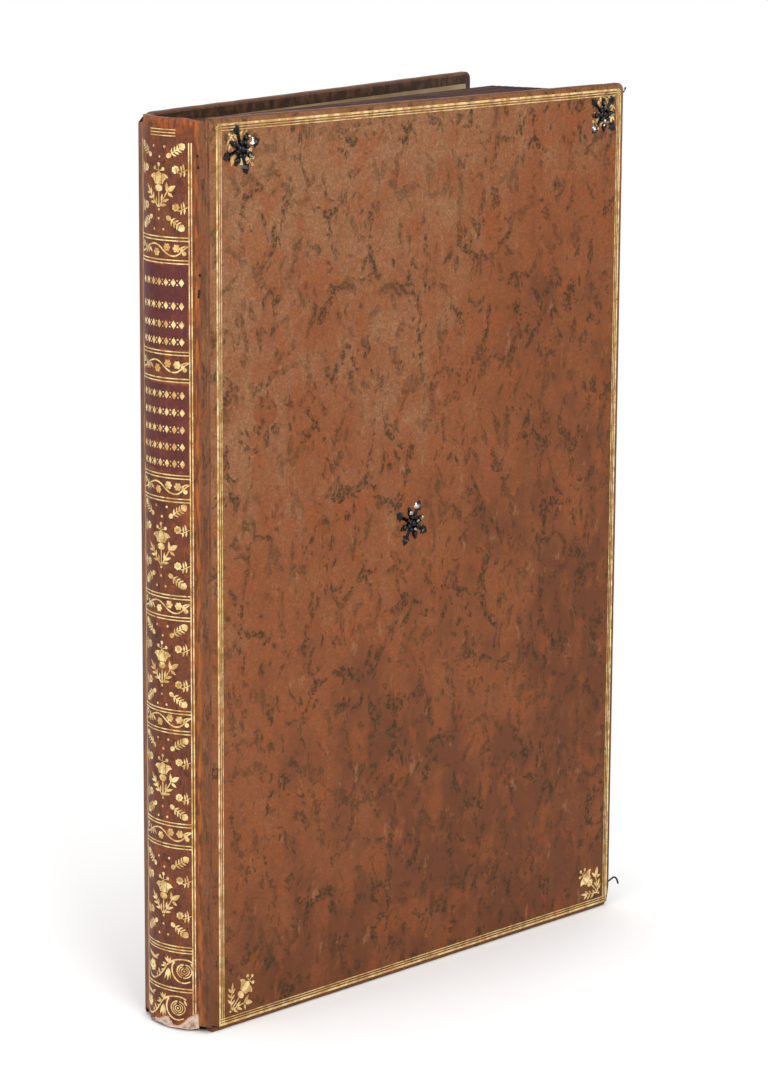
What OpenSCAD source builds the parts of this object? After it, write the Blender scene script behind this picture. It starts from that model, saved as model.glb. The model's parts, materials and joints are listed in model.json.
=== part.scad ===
// A tall folio volume in marbled calf, standing on its tail edges with the rear cover splayed open.
// X runs from the joint to the fore edge, Y from the front cover to the rear one, Z from tail to head.
// The origin is the middle of the front cover's tail edge, on the surface that the book stands on.

/* [Covers] */
// Width of a cover, from its joint to its fore edge
board_w = 289; // [220:1:330]
// Height of a cover, from tail to head
board_h = 430; // [360:1:480]
// Thickness of the pasteboard
board_t = 3.6; // [2.5:0.1:5]
// Thickness of the calf
leather_t = 0.9; // [0.6:0.05:1.1]
// Thickness of the calf where it is pared and turned in
turn_in_t = 0.5; // [0.3:0.05:0.8]
// Width of the turn-ins
turn_in_w = 16; // [10:1:30]
// Rounding of a cover's edges
edge_r = 1.4; // [1.1:0.1:2]
// Rounding of a cover's two fore corners
corner_r = 4; // [2.5:0.5:10]
// How far the pasteboard stands off the joint, over the shoulder
board_set = 2.5; // [2:0.1:4]
// Thickness of the pastedown paper
pastedown_t = 0.25; // [0.15:0.05:0.5]
// Turn-in that the pastedown leaves bare at head, tail and fore edge
pastedown_margin = 6; // [3:0.5:12]
// Angle at which the rear cover stands open
rear_open = 11.9; // [8:0.1:30]

/* [Leaves] */
// Thickness of the leaves at the spine
leaves_t = 33.3; // [20:0.1:40]
// Number of gatherings that stand apart at the fore edge
gatherings = 18; // [8:1:24]
// Angle through which the leaves are fanned
fan_angle = 8.9; // [2:0.1:9]
// Distance from the joint at which the gatherings part
fan_root = 30; // [15:1:60]
// Length over which a parting leaf bends away
fan_bend = 40; // [10:1:80]
// How far the last leaf falls short of the first one at the fore edge
fore_slant = 12.5; // [0:0.5:20]
// Cover left bare by the leaves at the head and at the tail
square_w = 4.5; // [4:0.1:7]
// Cover left bare by the leaves at the fore edge
fore_square = 7.5; // [4:0.1:12]
// Thickness of an endleaf
endleaf_t = 0.3; // [0.2:0.05:0.5]

/* [Spine] */
// Height to which the spine is rounded, beyond its two edges
swell = 6.6; // [4:0.1:14]
// How far the spine's edges fall back behind the joint
flank_fall = 2.2; // [1.6:0.1:3]
// How far past a cover's thickness a joint strip reaches
flank_over = 0.2; // [0:0.1:2]
// Thickness of the paper lining under the calf
lining_t = 0.8; // [0.4:0.1:1.2]
// Height of the paper left at the torn tail
lining_tail = 0.6; // [0.4:0.1:3]

/* [Sewing] */
// Number of sewing cords
cords = 5; // [3:1:7]
// Radius of a sewing cord
cord_r = 1.6; // [1:0.1:2]
// Depth of a sewing cord's middle below the back of the leaves
cord_depth = 0.9; // [0.6:0.1:1]
// Distance of the first and last cords from head and tail
cord_inset = 45; // [30:1:70]
// Width of a cord's frayed slip on the board
slip_w = 7; // [4:0.5:12]
// Length of a cord's frayed slip on the board
slip_l = 22; // [14:1:40]
// Thickness of a slip
slip_t = 0.8; // [0.5:0.1:1.2]
// Radius of the hole through which a slip is laced
lace_r = 1.4; // [1:0.1:2]

/* [Labels] */
// Thickness of a pasted leather label
label_t = 0.25; // [0.15:0.05:0.5]
// Distance of the title label's upper edge from the head
title_drop = 65.9; // [50:0.1:75]
// Height of the title label
title_h = 39.7; // [25:0.1:45]
// Distance of the volume label's upper edge from the head
volume_drop = 120.3; // [117:0.1:140]
// Height of the volume label
volume_h = 41.7; // [25:0.1:45]

/* [Ornaments] */
// Reach of an ornament's long arms
ornament_r = 12.5; // [9:0.5:16]
// Thickness of an ornament's plate
ornament_t = 1; // [0.6:0.1:2]
// Distance of the head ornaments from the head edge
ornament_drop = 15; // [13:0.5:30]
// Distance of the joint-side ornament from the joint
ornament_joint = 21.8; // [18:0.1:40]
// Distance of the fore-edge ornament from the fore edge
ornament_fore = 16; // [15:0.1:40]
// Radius of an ornament's nail
nail_r = 0.7; // [0.5:0.1:1.2]
// Distance of the lost ornaments' nail holes from the tail edge
lost_nail_z = 15; // [10:0.5:30]

/* [Wire ends] */
// Radius of the wire
wire_r = 0.5; // [0.3:0.05:0.8]
// Distance of the upper wire from the head
head_wire_drop = 5.5; // [5:0.5:30]
// Distance of the lower wire from the tail
tail_wire_z = 11.5; // [10:0.5:30]
// Depth of the wire in the fore edge
wire_root = 6; // [3:0.5:12]

/* [Wear] */
// Width of what is gone from the front cover's fore corner at the tail
worn_corner_w = 4.5; // [2:0.1:6]
// Height of what is gone from that corner
worn_corner_h = 9; // [4:0.1:9.5]
// Width of the calf lost at the joint, at the tail of the front cover
worn_notch_w = 7; // [3:0.1:10]
// Height of the calf lost there
worn_notch_h = 2.6; // [1:0.1:4]
// Height of the tear across the tail of the spine, at its lowest
tear_low = 1.5; // [1:0.1:4]
// Height of the tear across the tail of the spine, at its highest
tear_h = 8; // [4:0.5:16]
// Height of the ragged edge of the lining
lining_tear = 2.5; // [1:0.1:4]
// Radius of the worm holes in the front joint strip
worm_r = 0.6; // [0.4:0.1:1]

/* [Clearances] */
// Gap between the calf of a cover and the calf of the spine, at the joint
joint_gap = 0.3; // [0.2:0.05:0.5]
// Gap between a cover and the leaves
leaf_gap = 0.3; // [0.2:0.05:0.6]
// Gap between a wire and its drilled hole
wire_gap = 0.1; // [0.05:0.05:0.3]

/* [Hidden] */
$fn = 96;

// Cutting bodies reach this far past what they cut
past = 1;

cover_t = leather_t + board_t + turn_in_t;
// Depth from a cover's outer face to the face of the leaves
leaves_y = cover_t + pastedown_t + leaf_gap + endleaf_t;
book_t = 2 * leaves_y + leaves_t;

// The spine's rounding: an arc over the chord between the two flanks
flank_y = cover_t + flank_over;
chord = book_t - 2 * flank_y;
spine_r = (chord * chord / 4 + swell * swell) / (2 * swell);
spine_x = spine_r - swell - flank_fall;
spine_y = book_t / 2;
spine_half = asin(chord / (2 * spine_r));
leaves_back = leather_t + lining_t;
// Angle through which a joint strip's heel reaches round the spine
heel_angle = 5;

// The leaves stand between the head and tail squares
leaves_z = square_w;
leaves_h = board_h - 2 * square_w;
leaves_end = board_w - fore_square;

// The shoulder of the leaves stands over the joint, clear of the cover's calf
shoulder_x = board_set - joint_gap;
shoulder_y = leather_t + leaf_gap;

// The head cap is a half round over the endband, which stands on the leaves
band_r = (square_w - leather_t) / 2;
cap_r = band_r + leather_t;
cap_z = board_h - cap_r;
tail_band_z = square_w - band_r;

cord_step = (board_h - 2 * cord_inset) / (cords - 1);
cord_heights = [for (i = [0:cords - 1]) cord_inset + i * cord_step];

// The labels hang from the head of the spine
title_z = board_h - title_drop - title_h;
volume_z = board_h - volume_drop - volume_h;

// Shares of a gathering's length at which its bend is drawn
bend_steps = [0, 0.08, 0.2, 0.45, 1];

// Where each ornament stands on the front cover, and how it is turned
head_joint_spot = [ornament_joint, board_h - ornament_drop, 17];
head_fore_spot = [board_w - ornament_fore, board_h - ornament_drop, 47];
centre_spot = [board_w * 0.47, board_h * 0.526, -28];
nail_spots = [head_joint_spot, head_fore_spot, centre_spot];
lost_nail_spots = [[ornament_joint, lost_nail_z], [board_w - ornament_fore, lost_nail_z]];

// Each worm hole's shares of the joint strip's depth and of the board's height. The last three make a slit.
worm_spots = [[0.75, 0.961], [0.7, 0.949], [0.6, 0.836], [0.64, 0.819], [0.67, 0.816], [0.7, 0.813]];

// Each wire's middle line past the fore edge, outwards and then upwards
head_wire = [[-wire_root, 0], [0.8, 0], [1.9, 0.5], [2.8, 1.4], [3.8, 2.6]];
tail_wire = [[-wire_root, 0], [1, 0], [2.4, 0.1], [4.4, 0.8], [6.2, 1.2], [7.7, 0.7], [8.9, -0.8], [9.8, -3]];
wire_sides = 8;

// Places the book with its origin at the middle of the front cover's tail edge
module place() {
    translate([-board_w / 2, -cover_t / 2, 0]) children();
}

// Turns a cover made at the front into the rear one, standing open
module at_rear() {
    translate([0, book_t, 0]) rotate([0, 0, rear_open]) mirror([0, 1, 0]) children();
}

// Everything inside the spine's outer surface, less an inset, in plan
module spine_plan(inset) {
    lean = [flank_fall - joint_gap / 2, flank_y];
    side = inset * norm(lean) / lean[1];
    intersection() {
        translate([spine_x, spine_y]) circle(r = spine_r - inset);
        translate([-flank_fall - 2 * swell, flank_y]) square([2 * swell + flank_fall + board_set, chord]);
    }
    polygon([
        [-joint_gap / 2 + side, 0],
        [-flank_fall + side, flank_y],
        [-flank_fall + side, book_t - flank_y],
        [-joint_gap / 2 + side, book_t],
        [board_set, book_t],
        [board_set, 0]
    ]);
}

// A body turned about the spine's own axis, over the round of the back
module round_the_back(half = spine_half) {
    translate([spine_x, spine_y, 0]) rotate([0, 0, 180 - half]) rotate_extrude(angle = 2 * half) children();
}

function reversed(list) = [for (i = [len(list) - 1:-1:0]) list[i]];

// How far leaf number k of the block has bent away from its place at the spine, at x
function drift(k, x) = let (run = max(0, x - fan_root))
    k / gatherings * tan(fan_angle) * run * run / (run + fan_bend);
// The fore edge slants back towards the last leaf, and the rounded back draws its middle in
function fore_end(k) = leaves_end * cos(fan_angle * k / gatherings) - fore_slant * pow(k / gatherings, 2)
    - 0.35 * swell * (1 - pow(2 * k / gatherings - 1, 2));
function leaf_y(k) = leaves_y + leaves_t * k / gatherings;
// Points along gathering k, from its root to the fore edge
function bent_leaf(k, y) = [for (t = bend_steps) let (x = fan_root + t * (fore_end(k + 0.5) - fan_root))
    [x, y + drift(k, x)]];

// The leaves in plan: shoulders, packed roots, and gatherings that part towards the fore edge
module leaves_plan() {
    intersection() {
        union() {
            polygon([
                for (k = [0:gatherings - 1]) for (p = concat(
                    bent_leaf(k, leaf_y(k)),
                    reversed(bent_leaf(k, leaf_y(k + 1)))
                )) p,
                [0, leaf_y(gatherings)],
                [0, leaf_y(0)]
            ]);
            translate([-flank_fall, shoulder_y]) square([shoulder_x + flank_fall, book_t - 2 * shoulder_y]);
            translate([-flank_fall - swell, flank_y]) square([swell + 2 * flank_fall, chord]);
        }
        union() {
            spine_plan(leaves_back);
            translate([board_set - joint_gap, 0]) square([board_w, 3 * book_t]);
        }
    }
}

module text_block() color("rosybrown") place() difference() {
    translate([0, 0, leaves_z]) linear_extrude(leaves_h) leaves_plan();
    for (z = cord_heights) round_the_back() translate([spine_r - leaves_back - cord_depth, z])
        circle(r = cord_r);
}

// The free endleaves lie on the first and last leaves
module front_endleaf() color("linen") place()
    translate([shoulder_x, leaves_y - endleaf_t, leaves_z])
        cube([fore_end(0) - shoulder_x, endleaf_t, leaves_h]);

module rear_endleaf() color("linen") place() translate([0, 0, leaves_z]) linear_extrude(leaves_h) {
    inner = leaf_y(gatherings);
    outer = inner + endleaf_t;
    polygon(concat(
        [[shoulder_x, inner]],
        bent_leaf(gatherings - 1, inner),
        reversed(bent_leaf(gatherings - 1, outer)),
        [[shoulder_x, outer]]
    ));
}

// Paper pasted over the back of the leaves and seen at the torn tail
module spine_lining() color("antiquewhite") place() difference() {
    round_the_back() translate([spine_r - leaves_back, lining_tail])
        square([lining_t, leaves_z + leaves_h - lining_tail]);
    torn_edge(lining_tail, lining_tail + lining_tear, [0.3, 0.5, 0.1, 0.2, 0, 0.4, 0.2, 0.8, 0.5, 1]);
}

// Cords in sawn grooves, flush with the back of the leaves
module sewing_cords() color("tan") place() for (z = cord_heights) round_the_back()
    translate([spine_r - leaves_back - cord_depth, z]) intersection() {
        circle(r = cord_r);
        translate([-2 * cord_r, -2 * cord_r]) square([2 * cord_r + cord_depth, 4 * cord_r]);
    }

// An endband's core, bent round the end of the spine at a radius r
module endband(r, z) {
    round_the_back() translate([r, z]) circle(r = band_r);
}

// At the head it fills the cap, and at the tail it stands against the lining
module head_endband() color("indianred") place() endband(spine_r - cap_r, cap_z);

module tail_endband() color("indianred") place() endband(spine_r - leaves_back - band_r, tail_band_z);

// A ragged cut across the tail of the spine. Its shares of the height between low and high run from the front
// joint to the rear one.
module torn_edge(low, high, shares) {
    last = len(shares) - 1;
    translate([-flank_fall - 2 * swell, 0, 0]) rotate([90, 0, 90]) linear_extrude(2 * swell + flank_fall)
        polygon([
            [-past, -past],
            [-past, low + (high - low) * shares[0]],
            for (i = [0:last]) [i * book_t / last, low + (high - low) * shares[i]],
            [book_t + past, low + (high - low) * shares[last]],
            [book_t + past, -past]
        ]);
}

// The section of the calf over the round of the spine. Its head is turned over the endband and down inside.
module calf_section() {
    translate([spine_r - leather_t, 0]) square([leather_t, cap_z]);
    translate([spine_r - cap_r, cap_z]) intersection() {
        difference() {
            circle(r = cap_r);
            circle(r = band_r);
        }
        translate([-cap_r - past, 0]) square([2 * (cap_r + past), cap_r + past]);
    }
}

// The calf of one joint strip in plan, pared away towards the joint
module joint_strip_plan() {
    edge = [-flank_fall, flank_y];
    inward = ([spine_x, spine_y] - edge) / spine_r;
    lean = [flank_fall - joint_gap / 2, flank_y];
    side = leather_t * norm(lean) / lean[1];
    // The strip's heel reaches into the calf over the round, between its two faces
    heel = spine_half - heel_angle;
    heel_r = spine_r - leather_t / 2;
    polygon([
        [-joint_gap / 2, joint_gap / 2],
        edge + 0.06 * leather_t * inward,
        [spine_x - heel_r * cos(heel), spine_y - heel_r * sin(heel)],
        edge + 0.8 * leather_t * inward,
        edge + [side, 0],
        [-joint_gap / 2, side * lean[1] / lean[0]]
    ]);
}

module joint_strip() {
    linear_extrude(board_h - leather_t) joint_strip_plan();
}

// Worm holes in the front joint strip
module worm_holes() {
    strip = [joint_gap / 2 - flank_fall, flank_y];
    for (spot = worm_spots)
        translate([strip[0] * spot[0] - joint_gap / 2, strip[1] * spot[0], board_h * spot[1]])
            rotate([0, 90, atan2(strip[1], strip[0]) - 90]) translate([0, 0, -3 * leather_t])
                cylinder(h = 6 * leather_t, r = worm_r, $fn = 24);
}

module spine_leather() color("sienna") place() difference() {
    union() {
        round_the_back() calf_section();
        joint_strip();
        translate([0, book_t, 0]) mirror([0, 1, 0]) joint_strip();
    }
    torn_edge(tear_low, tear_h, [0.9, 1, 0.94, 0.6, 0.38, 0.2, 0.1, 0.3, 0.24, 0.34, 0.12, 0.2, 0, 0.3]);
    worm_holes();
}

// A label is a thin skiver pasted on the round of the spine
module label(z, h) {
    round_the_back() translate([spine_r, z]) square([label_t, h]);
}

module title_label() color("maroon") place() label(title_z, title_h);

module volume_label() color("maroon") place() label(volume_z, volume_h);

// A cover's outer form: two rounded corners and three rounded edges
module cover_form() {
    intersection() {
        translate([0, cover_t + past, 0]) rotate([90, 0, 0]) linear_extrude(cover_t + 2 * past)
            rounded_outline(joint_gap / 2, 0, board_w, board_h, corner_r);
        linear_extrude(board_h) {
            translate([joint_gap / 2, 0]) square([board_w - edge_r - joint_gap / 2, cover_t]);
            translate([board_w - 2 * edge_r, edge_r]) square([2 * edge_r, cover_t - 2 * edge_r]);
            for (y = [edge_r, cover_t - edge_r]) translate([board_w - edge_r, y]) circle(r = edge_r);
        }
        rotate([90, 0, 90]) linear_extrude(board_w) {
            translate([0, edge_r]) square([cover_t, board_h - 2 * edge_r]);
            translate([edge_r, 0]) square([cover_t - 2 * edge_r, board_h]);
            for (y = [edge_r, cover_t - edge_r]) for (z = [edge_r, board_h - edge_r])
                translate([y, z]) circle(r = edge_r);
        }
    }
}

// An outline whose two fore corners are rounded
module rounded_outline(x0, z0, x1, z1, r) {
    translate([x0, z0]) square([x1 - x0 - r, z1 - z0]);
    translate([x1 - 2 * r, z0 + r]) square([2 * r, z1 - z0 - 2 * r]);
    for (z = [z0 + r, z1 - r]) translate([x1 - r, z]) circle(r = r);
}

// The solid that the pasteboard fills, with its corners rounded under the calf
module board_form() {
    translate([0, leather_t + board_t, 0]) rotate([90, 0, 0]) linear_extrude(board_t)
        rounded_outline(board_set, leather_t, board_w - leather_t, board_h - leather_t, corner_r - leather_t);
}

// The channels and lacing holes of the slips
module slip_form() {
    for (z = cord_heights) {
        translate([board_set - past, leather_t - past, z - slip_w / 2])
            cube([slip_l + past, slip_t + past, slip_w]);
        translate([board_set + slip_l - slip_w / 2, leather_t + board_t + past, z]) rotate([90, 0, 0])
            cylinder(h = board_t + past, r = lace_r);
    }
}

// Wear at the tail of the front cover: the fore corner is gone, and the calf at the joint
module worn_tail() {
    translate([board_w, cover_t + past, 0]) rotate([90, 0, 0]) linear_extrude(cover_t + 2 * past)
        polygon([
            [-worn_corner_w, 0],
            [-0.4 * worn_corner_w, 0.3 * worn_corner_h],
            [0, worn_corner_h],
            [past, worn_corner_h],
            [past, -past],
            [-worn_corner_w, -past]
        ]);
}

module worn_joint() {
    translate([0, leather_t, 0]) rotate([90, 0, 0]) linear_extrude(leather_t + past)
        polygon([
            [-past, -past],
            [-past, 1.8 * worn_notch_h],
            [0, 1.8 * worn_notch_h],
            [0.4 * worn_notch_w, worn_notch_h],
            [0.8 * worn_notch_w, 0.8 * worn_notch_h],
            [worn_notch_w, -past]
        ]);
}

// Holes for the nails, those of the two lost ornaments too
module nail_holes(depth) {
    for (spot = concat(nail_spots, lost_nail_spots)) translate([spot[0], depth, spot[1]]) rotate([90, 0, 0])
        cylinder(h = depth + past, r = nail_r);
}

module cover_calf() {
    difference() {
        cover_form();
        board_form();
        translate([-past, leather_t, -past]) cube([board_set + past, cover_t, board_h + 2 * past]);
        translate([0, leather_t + board_t, turn_in_w])
            cube([board_w - turn_in_w, turn_in_t + past, board_h - 2 * turn_in_w]);
    }
}

// The pastedown laps over the turn-ins, and its lining fills the step between them
module pastedown() {
    translate([board_set, leather_t + board_t, turn_in_w])
        cube([board_w - turn_in_w - board_set, turn_in_t, board_h - 2 * turn_in_w]);
    translate([board_set, cover_t, pastedown_margin])
        cube([board_w - pastedown_margin - board_set, pastedown_t, board_h - 2 * pastedown_margin]);
}

module slips() {
    for (z = cord_heights) {
        translate([board_set, leather_t, z - slip_w / 2]) cube([slip_l, slip_t, slip_w]);
        translate([board_set + slip_l - slip_w / 2, leather_t + board_t, z]) rotate([90, 0, 0])
            cylinder(h = board_t - slip_t / 2, r = lace_r);
    }
}

// The slope of a bent line at its point number i
function heading(line, i) = let (
    run = line[min(i + 1, len(line) - 1)] - line[max(i - 1, 0)]
) run / norm(run);

// A wire swept along a bent line that lies in the plane of the cover
module wire(line) {
    rings = len(line);
    points = [for (i = [0:rings - 1]) for (k = [0:wire_sides - 1]) let (
        aim = heading(line, i),
        out = wire_r * cos(k * 360 / wire_sides)
    ) [line[i][0] - aim[1] * out, wire_r * sin(k * 360 / wire_sides), line[i][1] + aim[0] * out]];
    walls = [for (i = [0:rings - 2]) for (k = [0:wire_sides - 1]) let (
        j = (k + 1) % wire_sides
    ) [i * wire_sides + k, i * wire_sides + j, (i + 1) * wire_sides + j, (i + 1) * wire_sides + k]];
    polyhedron(points, concat(
        walls,
        [[for (k = [wire_sides - 1:-1:0]) k]],
        [[for (k = [0:wire_sides - 1]) (rings - 1) * wire_sides + k]]
    ));
}

// The drilled holes that the wires stand in
module wire_holes() {
    for (z = [tail_wire_z, board_h - head_wire_drop]) translate([board_w - wire_root, cover_t / 2, z])
        rotate([0, 90, 0]) cylinder(h = wire_root + past, r = wire_r + wire_gap);
}

module front_board() color("tan") place() difference() {
    board_form();
    slip_form();
    nail_holes(leather_t + board_t);
    worn_tail();
    wire_holes();
}

module front_cover_leather() color("sienna") place() difference() {
    cover_calf();
    nail_holes(leather_t);
    worn_tail();
    worn_joint();
    wire_holes();
}

module front_pastedown() color("linen") place() pastedown();

module front_slips() color("tan") place() slips();

// A cast cross of four long arms and four short beaded ones, over a ring of beads
module ornament(spot) {
    translate([spot[0], 0, spot[1]]) rotate([90, -spot[2], 0]) difference() {
        union() {
            cylinder(h = ornament_t, r = 0.36 * ornament_r);
            for (turn = [0:90:270]) rotate([0, 0, turn]) {
                translate([0, -0.06 * ornament_r, 0]) cube([0.6 * ornament_r, 0.12 * ornament_r, ornament_t]);
                arrow();
            }
            for (turn = [45:90:315]) rotate([0, 0, turn]) {
                translate([0, -0.05 * ornament_r, 0]) cube([0.5 * ornament_r, 0.1 * ornament_r, ornament_t]);
                translate([0.52 * ornament_r, 0, 0]) bead(0.09 * ornament_r);
            }
            for (turn = [0:45:315]) rotate([0, 0, turn]) translate([0.26 * ornament_r, 0, ornament_t / 2])
                bead(0.075 * ornament_r);
        }
        translate([0, 0, -past]) cylinder(h = ornament_t + 2 * past, r = nail_r);
        translate([0, 0, -3 * past]) cylinder(h = 3 * past, r = ornament_r);
    }
}

// One arm ends in an arrow: a hipped block whose barbs turn back
module arrow() {
    outline = [[0.5, 0], [0.58, -0.22], [0.8, -0.17], [1, 0], [0.8, 0.17], [0.58, 0.22]];
    n = len(outline);
    rise = [0, 0.6 * ornament_t];
    polyhedron(
        concat(
            [for (z = rise) for (p = outline) [p[0] * ornament_r, p[1] * ornament_r, z]],
            [[0.62 * ornament_r, 0, 1.8 * ornament_t], [0.82 * ornament_r, 0, 1.6 * ornament_t]]
        ),
        concat(
            [[for (k = [0:n - 1]) k]],
            [for (k = [0:n - 1]) [k, n + k, n + (k + 1) % n, (k + 1) % n]],
            [[n, 2 * n, n + 1], [n + 1, 2 * n, 2 * n + 1], [n + 1, 2 * n + 1, n + 2], [n + 2, 2 * n + 1, n + 3]],
            [[n + 3, 2 * n + 1, n + 4], [n + 4, 2 * n + 1, n + 5], [n + 5, 2 * n + 1, 2 * n], [n + 5, 2 * n, n]]
        )
    );
}

module bead(r) {
    cylinder(h = ornament_t, r = r);
    translate([0, 0, ornament_t]) sphere(r = r, $fn = 24);
}

module head_joint_ornament() color("dimgray") place() ornament(head_joint_spot);

module head_fore_ornament() color("dimgray") place() ornament(head_fore_spot);

module centre_ornament() color("dimgray") place() ornament(centre_spot);

// Each nail has a domed head on its ornament and a shank through calf and board
module ornament_nails() color("silver") place() for (spot = nail_spots)
    translate([spot[0], 0, spot[1]]) rotate([90, 0, 0]) {
        translate([0, 0, -leather_t - board_t]) cylinder(h = leather_t + board_t + ornament_t, r = nail_r);
        translate([0, 0, ornament_t]) intersection() {
            sphere(r = 2 * nail_r);
            cylinder(h = 2 * nail_r, r = 2 * nail_r);
        }
    }

module wire_stubs() color("dimgray") place() {
    translate([board_w, cover_t / 2, board_h - head_wire_drop]) wire(head_wire);
    translate([board_w, cover_t / 2, tail_wire_z]) wire(tail_wire);
}

module rear_board() color("tan") place() at_rear() difference() {
    board_form();
    slip_form();
}

module rear_cover_leather() color("sienna") place() at_rear() cover_calf();

module rear_pastedown() color("linen") place() at_rear() pastedown();

module rear_slips() color("tan") place() at_rear() slips();

text_block();
front_endleaf();
rear_endleaf();
spine_lining();
sewing_cords();
head_endband();
tail_endband();
spine_leather();
title_label();
volume_label();
front_board();
front_cover_leather();
front_pastedown();
front_slips();
head_joint_ornament();
head_fore_ornament();
centre_ornament();
ornament_nails();
wire_stubs();
rear_board();
rear_cover_leather();
rear_pastedown();
rear_slips();
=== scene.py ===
import json
import math

import bmesh
import bpy
from mathutils import Matrix, Vector, noise


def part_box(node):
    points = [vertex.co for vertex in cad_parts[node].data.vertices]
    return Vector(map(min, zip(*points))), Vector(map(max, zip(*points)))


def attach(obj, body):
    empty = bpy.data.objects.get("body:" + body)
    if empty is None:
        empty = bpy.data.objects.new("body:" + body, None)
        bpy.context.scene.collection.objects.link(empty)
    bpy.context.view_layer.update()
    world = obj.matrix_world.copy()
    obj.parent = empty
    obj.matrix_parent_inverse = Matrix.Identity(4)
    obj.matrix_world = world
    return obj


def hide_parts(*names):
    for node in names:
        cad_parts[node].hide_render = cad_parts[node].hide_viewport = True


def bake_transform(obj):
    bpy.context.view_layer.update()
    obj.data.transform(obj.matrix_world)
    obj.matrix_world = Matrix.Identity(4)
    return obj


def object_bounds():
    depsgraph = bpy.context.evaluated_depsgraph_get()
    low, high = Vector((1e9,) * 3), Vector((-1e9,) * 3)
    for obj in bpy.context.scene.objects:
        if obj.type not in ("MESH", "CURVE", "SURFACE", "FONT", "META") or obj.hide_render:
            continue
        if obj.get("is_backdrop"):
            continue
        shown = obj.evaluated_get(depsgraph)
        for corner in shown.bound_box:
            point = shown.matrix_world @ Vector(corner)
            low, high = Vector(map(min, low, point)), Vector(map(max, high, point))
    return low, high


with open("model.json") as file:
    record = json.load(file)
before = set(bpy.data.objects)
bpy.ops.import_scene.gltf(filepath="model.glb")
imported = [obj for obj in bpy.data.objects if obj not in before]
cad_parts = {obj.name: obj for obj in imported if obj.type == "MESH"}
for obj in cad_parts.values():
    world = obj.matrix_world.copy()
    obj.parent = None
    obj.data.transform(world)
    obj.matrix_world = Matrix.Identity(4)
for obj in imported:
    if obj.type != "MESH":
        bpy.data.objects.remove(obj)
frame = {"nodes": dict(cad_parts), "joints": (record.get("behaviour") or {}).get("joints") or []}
cad_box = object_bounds()

# Camera
# It stands at the photograph's viewing angle, to the left of the front cover and a little above its middle.
# Its place, its angles and its focal length were fitted to the corners of the two covers.
photo_height_px = 1092
focal_length_px = 3717
camera_place = Vector((-1.2902, -1.2146, 0.5855))
yaw, pitch, roll = (math.radians(angle) for angle in (43.84, 11.87, 0.32))


def placed(name, data):
    """A new object in the scene that holds a mesh, a lamp or a camera"""
    thing = bpy.data.objects.new(name, data)
    bpy.context.scene.collection.objects.link(thing)
    return thing


ahead = Vector((math.cos(yaw) * math.cos(pitch), math.sin(yaw) * math.cos(pitch), -math.sin(pitch)))
level = ahead.cross(Vector((0, 0, 1))).normalized()
lean = Matrix.Rotation(-roll, 3, ahead)
columns = Matrix((lean @ level, lean @ level.cross(ahead), -ahead)).transposed()
camera_data = bpy.data.cameras.new("camera")
camera_data.sensor_width = 36
camera_data.lens = camera_data.sensor_width * focal_length_px / photo_height_px
camera = placed("camera", camera_data)
camera.matrix_world = Matrix.Translation(camera_place) @ columns.to_4x4()
bpy.context.scene.camera = camera
bpy.context.scene.view_settings.view_transform = "Standard"

# Floor and light
# A pale studio floor that keeps the book's shadow and fades to plain white. Large soft lamps stand to the
# front left, to the left and overhead.
floor_half = 2.5
floor_grey = 0.86
shadow_near, shadow_far = 0.20, 0.46
studio_glow = 0.36


class Graph:
    """Adds nodes to a shader or geometry tree. A value is a number, a colour, a vector or another node's
    output."""

    def __init__(self, tree):
        self.tree = tree

    def set(self, socket, value):
        if isinstance(value, bpy.types.NodeSocket):
            self.tree.links.new(value, socket)
        elif value is not None:
            socket.default_value = value

    def add(self, kind, inputs=(), **settings):
        node = self.tree.nodes.new(kind)
        for name, value in settings.items():
            setattr(node, name, value)
        for key, value in dict(inputs).items():
            self.set(node.inputs[key], value)
        return node

    def math(self, operation, a, b=None, c=None, clamp=False):
        node = self.add("ShaderNodeMath", {0: a, 1: b, 2: c}, operation=operation, use_clamp=clamp)
        return node.outputs[0]

    def times(self, a, b):
        return self.math("MULTIPLY", a, b)

    def plus(self, a, b, clamp=False):
        return self.math("ADD", a, b, clamp=clamp)

    def minus(self, a, b):
        return self.math("SUBTRACT", a, b)

    def most(self, a, b):
        return self.math("MAXIMUM", a, b)

    def vector(self, operation, a, b=None, out=0):
        return self.add("ShaderNodeVectorMath", {0: a, 1: b}, operation=operation).outputs[out]

    def join(self, x=0.0, y=0.0, z=0.0):
        return self.add("ShaderNodeCombineXYZ", {0: x, 1: y, 2: z}).outputs[0]

    def split(self, vector):
        return self.add("ShaderNodeSeparateXYZ", {0: vector}).outputs

    def mix(self, amount, a, b):
        return self.add("ShaderNodeMix", {0: amount, 6: a, 7: b}, data_type="RGBA").outputs[2]

    def step(self, value, low, high, to_low=0.0, to_high=1.0):
        given = {0: value, 1: low, 2: high, 3: to_low, 4: to_high}
        return self.add("ShaderNodeMapRange", given, interpolation_type="SMOOTHSTEP").outputs[0]

    def noise(self, vector, scale, detail=2.0, roughness=0.5, out=0):
        given = {"Vector": vector, "Scale": scale, "Detail": detail, "Roughness": roughness}
        return self.add("ShaderNodeTexNoise", given).outputs[out]

    def finish(self, inputs, height=None, strength=0.0, depth=0.0004):
        """Closes a material with a Principled shader, and with relief where a height is given"""
        shader = self.add("ShaderNodeBsdfPrincipled", inputs)
        if height is not None:
            relief = self.add("ShaderNodeBump", {"Strength": strength, "Distance": depth, "Height": height})
            self.set(shader.inputs["Normal"], relief.outputs[0])
        self.set(self.output.inputs[0], shader.outputs[0])


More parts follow.
